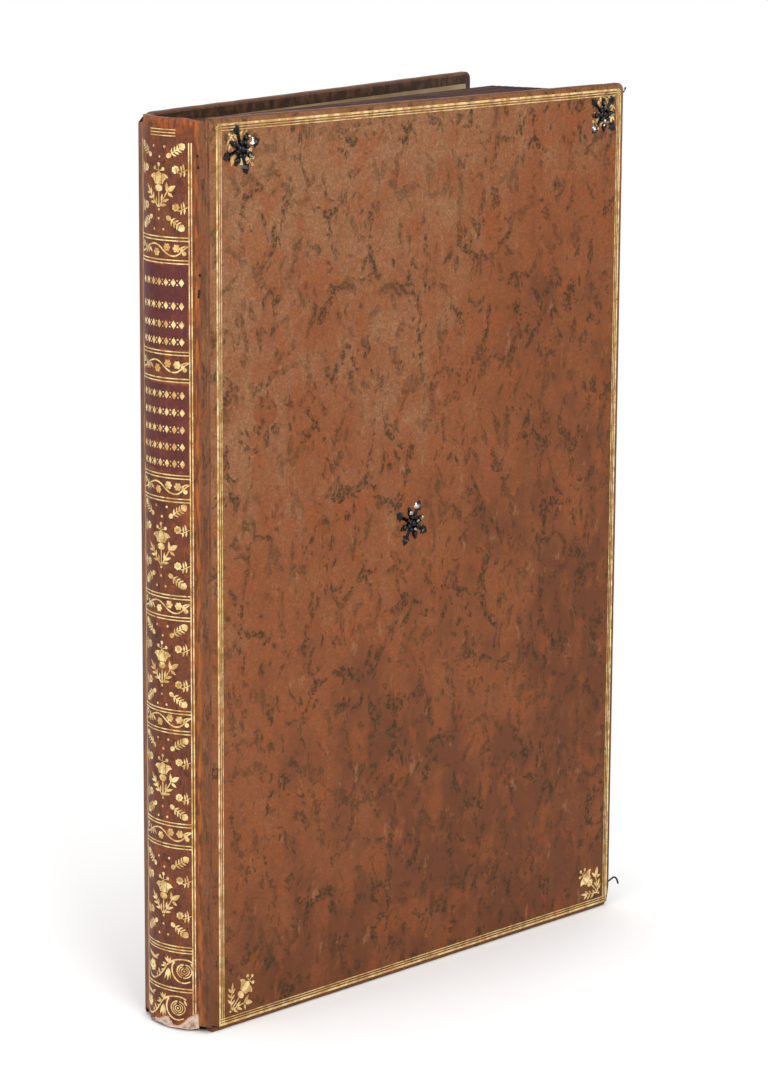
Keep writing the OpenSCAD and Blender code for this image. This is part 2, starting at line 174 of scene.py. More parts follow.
def srgb(red, green, blue):
    """A colour as the eye reads it on a screen, from 0 to 255, in the shader's own scale"""
    parts = [c / 255 for c in (red, green, blue)]
    return tuple(c / 12.92 if c <= 0.04045 else ((c + 0.055) / 1.055) ** 2.4 for c in parts) + (1.0,)


def new_material(name):
    """An empty material and the graph that fills it. The graph keeps the output node."""
    material = bpy.data.materials.new(name)
    material.use_nodes = True
    material.node_tree.nodes.clear()
    graph = Graph(material.node_tree)
    graph.output = graph.add("ShaderNodeOutputMaterial")
    return material, graph


def seen_directly(graph):
    """One for rays from the camera, from gloss and from clear things, and none for the light that floods
    the scene"""
    path = graph.add("ShaderNodeLightPath").outputs
    seen = graph.plus(path["Is Camera Ray"], path["Is Glossy Ray"])
    return graph.plus(seen, path["Is Transmission Ray"], clamp=True)


floor_material, g = new_material("pale_floor")
spot = g.add("ShaderNodeTexCoord").outputs["Object"]
away = g.vector("LENGTH", g.vector("MULTIPLY", spot, (1, 1, 0)), out="Value")
white_amount = g.times(g.step(away, shadow_near, shadow_far), seen_directly(g))
lit = g.add("ShaderNodeBsdfDiffuse", {"Color": (floor_grey, floor_grey, floor_grey, 1)}).outputs[0]
plain = g.add("ShaderNodeEmission", {"Color": (1, 1, 1, 1), "Strength": 1.0}).outputs[0]
g.set(g.output.inputs[0], g.add("ShaderNodeMixShader", {0: white_amount, 1: lit, 2: plain}).outputs[0])
floor_mesh = bpy.data.meshes.new("floor")
corners = [(x * floor_half, y * floor_half, 0) for x, y in ((-1, -1), (1, -1), (1, 1), (-1, 1))]
floor_mesh.from_pydata(corners, [], [(0, 1, 2, 3)])
floor_mesh.materials.append(floor_material)
floor = placed("floor", floor_mesh)
floor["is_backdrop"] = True

world = bpy.data.worlds.new("studio")
world.use_nodes = True
world.node_tree.nodes.clear()
g = Graph(world.node_tree)
shade = g.add("ShaderNodeBackground", {"Color": (1, 1, 1, 1), "Strength": studio_glow}).outputs[0]
white = g.add("ShaderNodeBackground", {"Color": (1, 1, 1, 1), "Strength": 1.0}).outputs[0]
surface = g.add("ShaderNodeMixShader", {0: seen_directly(g), 1: shade, 2: white}).outputs[0]
g.set(g.add("ShaderNodeOutputWorld").inputs[0], surface)
bpy.context.scene.world = world

for name, place, aim, size, watts in (
    ("front_lamp", (-0.75, -1.7, 1.25), (-0.05, 0.0, 0.24), 0.9, 29),
    ("spine_lamp", (-2.1, 0.25, 0.9), (-0.15, 0.02, 0.2), 0.9, 14),
    ("overhead_lamp", (0.1, 0.2, 2.2), (0.0, 0.0, 0.0), 1.8, 44),
):
    lamp_data = bpy.data.lights.new(name, "AREA")
    lamp_data.shape = "SQUARE"
    lamp_data.size = size
    lamp_data.energy = watts
    lamp = placed(name, lamp_data)
    lamp.location = place
    lamp.rotation_euler = (Vector(aim) - Vector(place)).to_track_quat("-Z", "Y").to_euler()

# Front cover
# Marbled calf drawn over pasteboard and turned in on three sides. Its edges are rubbed, a fore corner is worn
# away at the tail, and the calf is torn where it meets the joint there.
mm = 0.001
hinge = {joint["name"]: Vector(joint["pos_m"]) for joint in frame["joints"]}
joint_x = hinge["front_cover_joint"].x
front_y = hinge["front_cover_joint"].y
book_t = hinge["rear_cover_joint"].y - front_y
cover_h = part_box("front_cover_leather")[1].z
cover_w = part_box("front_cover_leather")[1].x - joint_x
cover_t = 5.0 * mm
leather_t = 0.9 * mm
board_t = 3.6 * mm
edge_r = 1.4 * mm
corner_r = 4 * mm
turn_in_w = 16 * mm
board_set = 2.5 * mm
joint_gap = 0.15 * mm
# How loosely the calf lies on its board
play = 0.05 * mm
# Insets of the two rings of points that cross a cover's flat face
face_inset = 14 * mm
rubbed_inset = 2.6 * mm
# Deepest dent in a rubbed edge
dent_depth = 0.18 * mm
# The tear where the calf meets the joint, and the worn fore edge at the tail: x and z in millimetres
torn_tail = [(0, 5.2), (1.6, 3.4), (2.8, 2.6), (4.2, 2.9), (5.6, 2.1), (6.4, 1.5), (7, 0)]
worn_fore = [((284.5, 0), (287.2, 2.7)), ((287.2, 2.7), (289, 9))]
# How much more the worn fore edge is lost for each step inward from the face
worn_lean = 0.6


def front_place(x, y, z):
    """A point of the closed front cover: x from the joint, y in from the cover's face"""
    return (joint_x + x, front_y + y, z)


def along(table, x):
    """The height of a line given in millimetres as points, at x"""
    x /= mm
    for (x0, z0), (x1, z1) in zip(table, table[1:]):
        if x0 <= x <= x1:
            return (z0 + (z1 - z0) * (x - x0) / (x1 - x0)) * mm
    return -1.0


def spread(a, b, count, crowd=1.0):
    """Count + 1 numbers from a to b, closer together near a when crowd is over 1"""
    return [a + (b - a) * (i / count) ** crowd for i in range(count + 1)]


def cover_outline(inset, left, worn):
    """Points round a cover's face at one depth, anticlockwise from the joint at the tail"""
    r = max(0.0, corner_r - inset)
    reach = max(0.0, inset - corner_r)
    low, right, top = corner_r + reach, cover_w - corner_r - reach, cover_h - corner_r - reach
    arc = [(r * math.cos(math.radians(a)), r * math.sin(math.radians(a))) for a in spread(-90, 0, 8)[1:]]
    along_tail = spread(left, right, 60, 1.7)
    points = [(x, inset) for x in along_tail]
    points += [(right + x, low + z) for x, z in arc]
    points += [(cover_w - inset, z) for z in spread(low, top, 70)[1:]]
    points += [(right - z, top + x) for x, z in arc]
    points += [(x, cover_h - inset) for x in reversed(along_tail[:-1])]
    points += [(left, z) for z in reversed(spread(inset, cover_h - inset, 70)[1:-1])]
    if worn:
        points = [worn_away(x, z, inset) for x, z in points]
        if left == joint_gap:
            points = [(x, max(z, along(torn_tail, x))) for x, z in points]
    return points


def worn_away(x, z, inset):
    """Brings a point that lies past the worn fore edge back onto it"""
    for (x0, z0), (x1, z1) in worn_fore:
        run = Vector((x1 - x0, z1 - z0)).normalized()
        out = Vector((run.y, -run.x))
        past = out.dot(Vector((x - x0 * mm, z - z0 * mm))) + worn_lean * inset - 2 * play
        if past > 0:
            x -= past * out.x
            z -= past * out.y
    return x, z


def outward(x, z):
    """The way from a cover's middle to its nearest side, in x and z. The joint side is none."""
    across = (x - cover_w / 2) / cover_w
    up = (z - cover_h / 2) / cover_h
    if abs(across) > abs(up):
        return (1 if across > 0 else 0), 0
    return 0, (1 if up > 0 else -1)


def finished(made, name, materials=(), crease=None):
    """The mesh of a sketch, with its materials. With a crease it is smooth, but for edges that turn by more
    than that angle."""
    for face in made.faces:
        face.smooth = crease is not None
    mesh = bpy.data.meshes.new(name)
    made.to_mesh(mesh)
    made.free()
    for material in materials:
        mesh.materials.append(material)
    if crease is not None:
        mesh.set_sharp_from_angle(angle=math.radians(crease))
    return mesh


def loft(name, rows, materials, hides=None, wears=None, bands=None):
    """A closed skin through rows of points. Each row is a loop, and the first and the last are capped. Each
    point may have its place on the hide and its wear, and each band between two rows its own material."""
    made = bmesh.new()
    hide_layer = made.loops.layers.uv.new("hide")
    wear_layer = made.verts.layers.float.new("wear")
    grid = [[made.verts.new(point) for point in row] for row in rows]
    flat = {}
    for i, row in enumerate(grid):
        for j, vert in enumerate(row):
            vert[wear_layer] = wears[i][j] if wears else 0.0
            flat[vert] = hides[i][j] if hides else (0.0, 0.0)
    for i, (a, b) in enumerate(zip(grid, grid[1:])):
        for j in range(len(a)):
            k = (j + 1) % len(a)
            face = made.faces.new((a[j], a[k], b[k], b[j]))
            face.material_index = bands[i] if bands else 0
    made.faces.new(list(reversed(grid[0])))
    made.faces.new(grid[-1])
    for face in made.faces:
        for loop in face.loops:
            loop[hide_layer].uv = flat[loop.vert]
    bmesh.ops.recalc_face_normals(made, faces=made.faces)
    return placed(name, finished(made, name, materials, crease=50))


def cover_mesh(name, place, hide_from, worn, materials):
    """The calf of one cover as a closed shell. Rings run from the outer face, round the edges, to the
    turn-ins, and back between calf and board. Each has its inset, its depth, its start at the joint and its
    wear."""
    inner = cover_t - edge_r
    over_board = leather_t + board_t - play
    by_board, in_board = board_set - 2 * play, board_set - play
    bends = [math.radians(a) for a in (0, 22.5, 45, 67.5)]
    rings = [(face_inset, 0, face_inset, 0.0), (rubbed_inset, 0, rubbed_inset, 0.1)]
    rings += [(edge_r * (1 - math.sin(a)), edge_r * (1 - math.cos(a)), joint_gap, 0.45 + 0.4 * math.sin(a))
              for a in bends]
    rings += [(edge_r * 0.05, leather_t, by_board, 1.0)]
    rings += [(0, edge_r, by_board, 1.0), (0, inner, by_board, 1.0)]
    rings += [(edge_r * (1 - math.cos(a)), inner + edge_r * math.sin(a), by_board, 0.8) for a in bends[1:]]
    rings += [(edge_r, cover_t, by_board, 0.6), (turn_in_w, cover_t, by_board, 0.1)]
    rings += [(turn_in_w, over_board, by_board, 0.0), (leather_t - play, over_board, in_board, 0.0)]
    rings += [(leather_t - play, leather_t + play, in_board, 0.0)]
    rows, hides, wears = [], [], []
    run = 0.0
    last_inset, last_y = rings[0][:2]
    for inset, y, left, rub in rings:
        if last_y + y > 0:
            run += math.hypot(inset - last_inset, y - last_y)
        last_inset, last_y = inset, y
        unrolled = run + inset if y > 0 else 0.0
        soft = min(1.0, rub * 1.2) if y > 0 else 0.0
        row, hide_row = [], []
        for x, z in cover_outline(inset, left, worn):
            out_x, out_z = outward(x, z)
            dent = soft * min(0.0, dent_depth * noise.noise(Vector((x, z, y)) * 90) - play)
            row.append(place(x + out_x * dent, y, z + out_z * dent))
            hide_row.append((x + out_x * unrolled + hide_from, z + out_z * unrolled))
        rows.append(row)
        hides.append(hide_row)
        wears.append([rub] * len(row))
    # Faces from the turn-ins inward take the second material, the darker calf of painted shade
    return loft(name, rows, materials, hides, wears, [int(y >= cover_t) for _, y, _, _ in rings])


def new_group(name, inputs, outputs):
    """A shader group with named sockets, and the graph that fills it"""
    tree = bpy.data.node_groups.new(name, "ShaderNodeTree")
    kinds = {"c": "NodeSocketColor", "f": "NodeSocketFloat", "v": "NodeSocketVector"}
    for side, sockets in (("INPUT", inputs), ("OUTPUT", outputs)):
        for socket, kind in sockets.items():
            tree.interface.new_socket(socket, in_out=side, socket_type=kinds[kind])
    graph = Graph(tree)
    return tree, graph, graph.add("NodeGroupInput").outputs, graph.add("NodeGroupOutput").inputs


def group_use(graph, tree, inputs):
    node = graph.tree.nodes.new("ShaderNodeGroup")
    node.node_tree = tree
    for key, value in inputs.items():
        graph.set(node.inputs[key], value)
    return node.outputs


# One mark of the marbling: a bent stroke in its own cell of the hide, turned and sized at random
stroke_group, g, given, result = new_group(
    "marbling_stroke",
    {"Hide": "v", "Cell Width": "f", "Cell Height": "f", "Length": "f", "Width": "f", "Share": "f",
     "Seed": "f"},
    {"Mask": "f"},
)
cell = g.join(given["Cell Width"], given["Cell Height"], 1.0)
place = g.vector("ADD", g.vector("DIVIDE", given["Hide"], cell), g.join(given["Seed"], given["Seed"], 0.0))
cells = g.add("ShaderNodeTexVoronoi", {"Vector": place, "Scale": 1.0, "Randomness": 0.95},
              voronoi_dimensions="2D")
local = g.split(g.vector("MULTIPLY", g.vector("SUBTRACT", place, cells.outputs["Position"]), cell))
chance = g.split(cells.outputs["Color"])
turn = g.times(g.minus(chance[0], 0.5), 1.4)
cosine, sine = g.math("COSINE", turn), g.math("SINE", turn)
across = g.minus(g.times(local[0], cosine), g.times(local[1], sine))
down = g.plus(g.times(local[0], sine), g.times(local[1], cosine))
bend = g.times(g.minus(chance[1], 0.5), 110)
across = g.plus(across, g.times(bend, g.times(down, down)))
length = g.times(given["Length"], g.math("MULTIPLY_ADD", chance[2], 0.7, 0.3))
share_left = g.minus(1.0, g.math("POWER", g.math("DIVIDE", down, length), 2.0))
width = g.times(given["Width"], g.most(share_left, 0.0))
mask = g.step(g.minus(width, g.math("ABSOLUTE", across)), -0.0007, 0.0009)
mask = g.times(mask, g.math("GREATER_THAN", share_left, 0.0))
lot = g.math("FRACT", g.math("MULTIPLY_ADD", chance[0], 7.3, chance[1]))
g.set(result["Mask"], g.times(mask, g.math("LESS_THAN", lot, given["Share"])))

# Stain that crept along the rims of the drops: broken curved veins, thick and thin
vein_group, g, given, result = new_group(
    "marbling_vein", {"Hide": "v", "Cell": "f", "Width": "f", "Broken": "f", "Seed": "f"}, {"Mask": "f"})
scale = g.math("DIVIDE", 1.0, given["Cell"])
place = g.vector("MULTIPLY", given["Hide"], g.join(scale, g.times(scale, 0.55), scale))
place = g.vector("ADD", place, g.join(given["Seed"], given["Seed"], 0.0))
rims = g.add("ShaderNodeTexVoronoi", {"Vector": place, "Scale": 1.0}, voronoi_dimensions="2D",
             feature="DISTANCE_TO_EDGE")
gap = g.times(rims.outputs["Distance"], given["Cell"])
thick_noise = g.noise(g.vector("ADD", given["Hide"], g.join(given["Seed"], 0.0, 0.0)), 110, 2, 0.5)
thickening = g.step(thick_noise, given["Broken"], g.plus(given["Broken"], 0.26), -0.3, 1.0)
beads = g.noise(g.vector("MULTIPLY", given["Hide"], (1.0, 0.7, 1.0)), 520, 2, 0.5)
thick = g.times(g.times(given["Width"], thickening), g.step(beads, 0.34, 0.6, 0.35, 1.1))
g.set(result["Mask"], g.step(g.minus(thick, gap), -0.0004, 0.0009))

# The marbled calf itself: clouded colour, stained marks, grain, rubbed places
calf_group, g, given, result = new_group(
    "marbled_calf",
    {"Hide": "v", "Pale": "c", "Body": "c", "Dark": "c", "Flame": "c", "Stain": "c", "Rubbed": "c",
     "Stain Amount": "f", "Fade": "f", "Wear": "f"},
    {"Color": "c", "Roughness": "f", "Height": "f"},
)
hide = given["Hide"]
# Every mark is drawn on a hide that is swayed twice, finely and widely, so that none is straight
sway = g.vector("SUBTRACT", g.noise(hide, 150, 3, 0.6, out=1), (0.5, 0.5, 0.5))
swayed = g.vector("ADD", hide, g.vector("MULTIPLY", sway, (0.0045, 0.0045, 0.0)))
sway = g.vector("SUBTRACT", g.noise(hide, 34, 2, 0.5, out=1), (0.5, 0.5, 0.5))
swayed = g.vector("ADD", swayed, g.vector("MULTIPLY", sway, (0.016, 0.016, 0.0)))


def strokes(cell_w, cell_h, length, width, share, seed):
    inputs = {"Hide": swayed, "Cell Width": cell_w, "Cell Height": cell_h, "Length": length, "Width": width,
              "Share": share, "Seed": seed}
    return group_use(g, stroke_group, inputs)[0]


def veins(cell, width, broken, seed):
    inputs = {"Hide": swayed, "Cell": cell, "Width": width, "Broken": broken, "Seed": seed}
    return group_use(g, vein_group, inputs)[0]


long_marks = strokes(0.015, 0.021, 0.0092, 0.0018, 0.50, 3.1)
short_marks = strokes(0.0095, 0.012, 0.0044, 0.0013, 0.48, 17.7)
dots = strokes(0.0042, 0.0050, 0.0018, 0.0010, 0.45, 41.3)
creep = g.most(veins(0.021, 0.0031, 0.38, 5.0), g.times(veins(0.0125, 0.0017, 0.43, 23.0), 0.85))
clusters = g.step(g.noise(hide, 42, 2), 0.46, 0.62)
marks = g.most(long_marks, short_marks)
stain = g.most(g.most(marks, creep), g.times(dots, clusters))
specks = g.noise(hide, 900, 3, 0.6)
grit = g.noise(hide, 380, 3, 0.65)
stain = g.times(stain, g.step(specks, 0.3, 0.55, 0.45, 1.0))
stain = g.times(stain, g.step(grit, 0.42, 0.54, 0.2, 1.0))
stain = g.times(stain, g.step(g.noise(hide, 30, 2), 0.4, 0.6, 0.62, 1.0))
clouds = g.noise(g.vector("MULTIPLY", hide, (1.0, 0.65, 1.0)), 46, 5, 0.62)
wide_clouds = g.noise(hide, 11, 2, 0.5)
tone = g.plus(g.times(clouds, 0.55), g.times(wide_clouds, 0.45))
# Shifts the calf's tone; on the front cover it is paler at the head and along the joint, partly real fading
# and partly painted sheen
tone = g.plus(tone, g.times(g.minus(given["Fade"], 0.5), 0.36))
colour = g.mix(g.step(tone, 0.3, 0.54), given["Dark"], given["Body"])
colour = g.mix(g.step(tone, 0.52, 0.74), colour, given["Pale"])
flames = g.noise(g.vector("MULTIPLY", hide, (1.0, 0.7, 1.0)), 75, 4, 0.6)
colour = g.mix(g.times(g.step(flames, 0.5, 0.64), 0.5), colour, given["Flame"])
colour = g.mix(g.times(g.step(grit, 0.6, 0.42), 0.3), colour, given["Dark"])
colour = g.mix(g.times(g.step(specks, 0.62, 0.42), 0.4), colour, given["Dark"])
scuffs = g.step(g.noise(g.vector("MULTIPLY", hide, (1.0, 0.5, 1.0)), 120, 4, 0.7), 0.6, 0.7)
colour = g.mix(g.times(scuffs, 0.5), colour, given["Pale"])
colour = g.mix(g.times(stain, given["Stain Amount"]), colour, given["Stain"])
rub_noise = g.noise(hide, 260, 4, 0.7)
rubbed = g.step(g.plus(rub_noise, g.times(given["Wear"], 0.3)), 0.45, 0.75)
rubbed = g.times(given["Wear"], rubbed)
scrapes = g.noise(g.vector("MULTIPLY", hide, (1.0, 0.5, 1.0)), 190, 3, 0.6)
scraped = g.step(scrapes, 0.38, 0.6, 0.2, 1.0)
colour = g.mix(rubbed, colour, g.mix(scraped, g.mix(0.5, given["Dark"], given["Stain"]), given["Rubbed"]))
g.set(result["Color"], colour)
g.set(result["Roughness"], g.plus(0.5, g.times(g.minus(clouds, 0.5), 0.3)))
pores = g.add("ShaderNodeTexVoronoi", {"Vector": hide, "Scale": 850.0}).outputs[0]
height = g.plus(g.times(pores, 0.35), g.noise(hide, 330, 4, 0.65))
g.set(result["Height"], g.minus(height, g.times(rubbed, 0.3)))


def calf_material(name, colours, stain_amount, tone_shift=0.5, bump=0.35, scale=(1.0, 1.0, 1.0)):
    """Calf in its own six colours, darkened with painted shade in patches where it faces up. The tone shift
    is a number or a function that draws it."""
    material, graph = new_material(name)
    hide = graph.add("ShaderNodeUVMap", uv_map="hide").outputs[0]
    wear = graph.add("ShaderNodeAttribute", attribute_name="wear").outputs["Fac"]
    hide = graph.vector("MULTIPLY", hide, scale)
    inputs = {"Hide": hide, "Stain Amount": stain_amount, "Wear": wear}
    inputs["Fade"] = tone_shift(graph) if callable(tone_shift) else tone_shift
    inputs.update({key: srgb(*value) for key, value in colours.items()})
    made = group_use(graph, calf_group, inputs)
    # Painted shade: faces that look up are darkened in patches
    facing_up = graph.split(graph.add("ShaderNodeNewGeometry").outputs["Normal"])[2]
    patches = graph.step(graph.noise(hide, 60, 4, 0.7), 0.3, 0.62, 0.95, 0.35)
    painted_top_shade = graph.times(graph.step(facing_up, 0.35, 0.9), patches)
    colour = graph.mix(painted_top_shade, made["Color"], srgb(62, 38, 27))
    graph.finish({"Base Color": colour, "Roughness": made["Roughness"], "Specular IOR Level": 0.1},
                 made["Height"], bump)
    return material


ring_stain_x, ring_stain_z = 36.8 * mm, 292.8 * mm


def paler_upper_left_with_sheen(graph):
    """The front cover is palest at its head and along the joint, partly faded and partly a painted sheen, and
    a round stain darkens it there
    """
    place = graph.split(graph.add("ShaderNodeUVMap", uv_map="hide").outputs[0])
    rise = graph.times(place[1], 1.0 / cover_h)
    drop = graph.times(place[0], 0.6 / cover_w)
    round_stain = graph.plus(graph.math("POWER", graph.minus(place[0], ring_stain_x), 2.0),
                             graph.math("POWER", graph.minus(place[1], ring_stain_z), 2.0))
    round_stain = graph.step(graph.math("SQRT", round_stain), 8.0 * mm, 6.8 * mm, 0.0, 0.45)
    pale = graph.most(graph.plus(graph.minus(rise, drop), 0.28), 0.1)
    return graph.minus(pale, round_stain)


cover_colours = {"Pale": (152, 108, 76), "Body": (140, 82, 49), "Dark": (100, 58, 35), "Flame": (150, 80, 41),
                 "Stain": (53, 42, 25), "Rubbed": (116, 74, 46)}
# The turn-ins inside the covers take a much darker copy of the calf: painted shade
turn_in_shaded_colours = {"Pale": (62, 42, 29), "Body": (44, 30, 21), "Dark": (30, 21, 16), "Flame": (56, 35, 22),
                   "Stain": (34, 26, 22), "Rubbed": (104, 70, 46)}
front_calf = calf_material("front_calf", cover_colours, 0.92, paler_upper_left_with_sheen)
turned_in_shaded_calf = calf_material("turned_in_calf", turn_in_shaded_colours, 0.4)
front_cover = cover_mesh("front_cover_calf", front_place, 0.0, True, [front_calf, turned_in_shaded_calf])
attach(front_cover, "front_cover")
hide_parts("front_cover_leather")

# Rear cover
# The same calf over the same board, splayed open. It carries no ornaments and isn't worn as far.
rear_open = math.radians(11.9)
# Its corner at the joint and head is worn round over this width and height, and lower by this much
round_w, round_h, round_drop = 9 * mm, 14 * mm, 4 * mm
# Where it lies on the hide, so that its marbling isn't the front cover's
rear_hide_from = 0.7


def at_rear(x, y, z):
    """A point of the splayed rear cover: x from the joint, y in from the cover's face"""
    return (
        joint_x + x * math.cos(rear_open) + y * math.sin(rear_open),
        front_y + book_t + x * math.sin(rear_open) - y * math.cos(rear_open),
        z,
    )


def rear_shape(x, y, z):
    """The same with the corner at the joint and head worn round"""
    near_joint = max(0.0, 1 - x / round_w) ** 2
    near_head = max(0.0, 1 - (cover_h - z) / round_h)
    return at_rear(x, y, z - round_drop * near_joint * near_head)


rear_colours = dict(cover_colours, Rubbed=(92, 62, 42), Dark=(66, 42, 29))
rear_calf = calf_material("rear_calf", rear_colours, 0.92)
rear_cover = cover_mesh("rear_cover_calf", rear_shape, rear_hide_from, False, [rear_calf, turned_in_shaded_calf])
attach(rear_cover, "rear_cover")
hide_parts("rear_cover_leather")

# Spine
# Calf over the round of the back, darker and mottled, rubbed orange at its edges. It is turned over the head
# endband as a cap, and its tail is torn off in a ragged line above the paper lining.
flank_fall = 2.2 * mm
flank_y = 5.2 * mm
chord = book_t - 2 * flank_y
swell = joint_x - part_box("spine_leather")[0].x - flank_fall
spine_r = (chord * chord / 4 + swell * swell) / (2 * swell)
spine_half = math.asin(chord / (2 * spine_r))
axis_x = joint_x + spine_r - swell - flank_fall
axis_y = front_y + book_t / 2
half_round = spine_r * spine_half
band_r = 1.8 * mm
cap_r = band_r + leather_t
cap_z = cover_h - cap_r
# The cap's corners are rubbed down past this far round, by this much, and the front one by a share of it
corner_from, corner_drop, front_share = 13.5 * mm, 3.4 * mm, 0.3
# Height of the tear, from the rear joint (left) to the front one, along the round of the spine
tear = [(-24, 3.0), (-16, 2.8), (-12, 1.5), (-7, 3.4), (-1.7, 4.4), (0.1, 6.2), (3.1, 6.4), (4.7, 4.1),
        (6.3, 2.7), (8.3, 2.4), (10.5, 3.6), (12.6, 5.9), (15.4, 7.9), (18, 9.4), (24, 9.6)]


def at_spine(s, lift, z):
    """A point on the round of the spine: s along it from its middle towards the front, lift off its face"""
    turn = s / spine_r
    return (axis_x - (spine_r + lift) * math.cos(turn), axis_y - (spine_r + lift) * math.sin(turn), z)


def torn_height(s):
    """Height of the torn tail at s, with its ragged fibres"""
    wide, fine = noise.noise(Vector((s * 900, 3.1, 0))), noise.noise(Vector((s * 2600, 0, 7)))
    return along(tear, s) + 0.9 * mm * wide + 0.5 * mm * fine


def spine_profile(s):
    """The calf's section at one place along the round: up its face, over the head cap and down inside"""
    low = max(0.4 * mm, torn_height(s))
    past = max(0.0, (abs(s) - corner_from) / (half_round - corner_from))
    top = cap_z - corner_drop * past ** 2 * (1.0 if s < 0 else front_share)
    bends = [math.pi * i / 10 for i in range(11)]
    face = [(0.0, z) for z in spread(low, top, 70, 1.15)]
    over = [(cap_r * math.cos(a) - cap_r, top + cap_r * math.sin(a)) for a in bends[1:]]
    under = [(band_r * math.cos(a) - cap_r, top + band_r * math.sin(a)) for a in reversed(bends)]
    return face + over + under + [(-leather_t, low + 0.5 * mm)]


def spine_row(s):
    """The points of one section, their places on the hide and their wear"""
    profile = spine_profile(s)
    low = profile[0][1]
    edge = max(0.0, 1 - (half_round - abs(s)) / (3.5 * mm)) * 0.5
    row, hide_row, wear_row = [], [], []
    run = low
    last_lift, last_z = profile[0]
    for lift, z in profile:
        run += math.hypot(lift - last_lift, z - last_z)
        last_lift, last_z = lift, z
        dent = 0.07 * mm * noise.noise(Vector((s * 60, z * 40, 2))) if lift == 0 else 0.0
        head = min(0.8, max(0.0, (z - cover_h + 8 * mm) / (6 * mm)))
        tail = min(1.0, max(0.0, 1 - (z - low) / (4 * mm)))
        row.append(at_spine(s, lift + dent, z))
        hide_row.append((s, run))
        wear_row.append(max(edge, head, 0.9 * tail))
    return row, hide_row, wear_row


spine_colours = {"Pale": (154, 96, 60), "Body": (118, 66, 44), "Dark": (72, 42, 37), "Flame": (166, 88, 38),
                 "Stain": (50, 32, 32), "Rubbed": (160, 84, 34)}
spine_calf = calf_material("spine_calf", spine_colours, 0.75, scale=(1.9, 1.5, 1.0))
rows, hides, wears = zip(*[spine_row(s) for s in spread(-half_round, half_round, 96)])
spine = loft("spine_calf", rows, [spine_calf], hides, wears)
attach(spine, "book_block")
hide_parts("spine_leather")

# Joints
# The covering calf carries on from the spine over each shoulder to the cover: it is the hinge, and the rear
# strip is drawn bent to the open cover. Handling has rubbed it to a bright brown.
strip_lap = 2.0 * mm
strip_t = 0.5 * mm
strip_lift = 0.04 * mm
# Share of the flank that stays straight, and the distance past the ridge over which the strip bends
straight_share = 0.86
bend_reach = 0.9 * mm
# Height of the strips' lower ends, torn off with the tail of the spine
front_strip_low, rear_strip_low = 3.2 * mm, 3.0 * mm
strip_high = cover_h - leather_t


def rear_block(x, y, z):
    """A point of the book block at the rear: x from the joint, y in from the closed cover's face"""
    return (joint_x + x, front_y + book_t - y, z)


def strip_line(block_place, cover_place):
    """The strip's line from the spine over the flank and the ridge to the cover, as places and points. The
    number of points up to the ridge comes with it."""
    flank = Vector((-flank_fall, flank_y))
    line = [(block_place, *(flank * (1 - t * straight_share))) for t in spread(0, 1, 8)]
    for t in spread(0, 1, 6)[1:-1]:
        spot = (flank * (1 - straight_share) * (1 - t)).lerp(Vector((bend_reach, 0)), t * t)
        line.append((block_place if t < 0.5 else cover_place, spot.x, spot.y - strip_lift * t))
    to_ridge = len(line)
    for t in spread(0, 1, 7):
        line.append((cover_place, bend_reach + (strip_lap - bend_reach) * t, -strip_lift * (1 - 0.6 * t)))
    return line, to_ridge


def strip_depth(past_ridge):
    """How far the strip's inner side lies inward, in x and y, before, at and past the ridge"""
    if past_ridge < -1 * mm:
        return strip_t, 0.1 * mm
    if past_ridge < 0:
        return 0.7 * strip_t, 0.12 * mm
    if past_ridge == 0:
        return 0.28 * strip_t, 0.12 * mm
    return 0.0, 0.14 * mm


def joint_strip(name, block_place, cover_place, low, head_drop, material):
    """One strip from its torn tail to the head, where it is worn lower by the given drop"""
    line, to_ridge = strip_line(block_place, cover_place)
    runs = [0.0]
    for (_, x0, y0), (_, x1, y1) in zip(line, line[1:]):
        runs.append(runs[-1] + math.hypot(x1 - x0, y1 - y0))
    ridge = runs[to_ridge - 1]
    rows, hides, wears = [], [], []
    for z in spread(low, strip_high, 90):
        worn = head_drop * ((z - low) / (strip_high - low)) ** 24
        outer, inner, across = [], [], []
        for (place, x, y), run in zip(line, runs):
            dropped_z = z - worn * (1 - 0.3 * min(1.0, abs(run - ridge) / ridge))
            in_x, in_y = strip_depth(run - ridge)
            outer.append(place(x, y, dropped_z))
            inner.append(place(x + in_x, y + in_y, dropped_z))
            across.append((run - ridge + bend_reach, z))
        rows.append(outer + inner[::-1])
        hides.append(across + across[::-1])
        wears.append([0.1 + 0.85 * min(1.0, max(0.0, ridge - run) / (5 * mm)) ** 3 for run in runs]
                     + [0.2] * len(runs))
    return loft(name, rows, [material], hides, wears)


joint_colours = {"Pale": (146, 104, 74), "Body": (124, 82, 56), "Dark": (84, 50, 34), "Flame": (140, 78, 40),
                 "Stain": (56, 38, 28), "Rubbed": (158, 88, 40)}
joint_calf = calf_material("joint_calf", joint_colours, 0.9, scale=(2.2, 0.8, 1.0))

front_strip = joint_strip("front_joint_calf", front_place, front_place, front_strip_low, 0.0, joint_calf)
rear_strip = joint_strip("rear_joint_calf", rear_block, at_rear, rear_strip_low, round_drop, joint_calf)
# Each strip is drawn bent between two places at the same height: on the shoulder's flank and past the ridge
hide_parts("spine_leather")
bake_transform(front_strip)
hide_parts("spine_leather")
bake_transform(rear_strip)

# Worm holes
# Small round holes that worms have eaten through the calf of the front joint, some of them run together into
# a slit. They are dark discs that lie just off the strip, painted shade for the hollow of each hole.
worm_r = 0.7 * mm
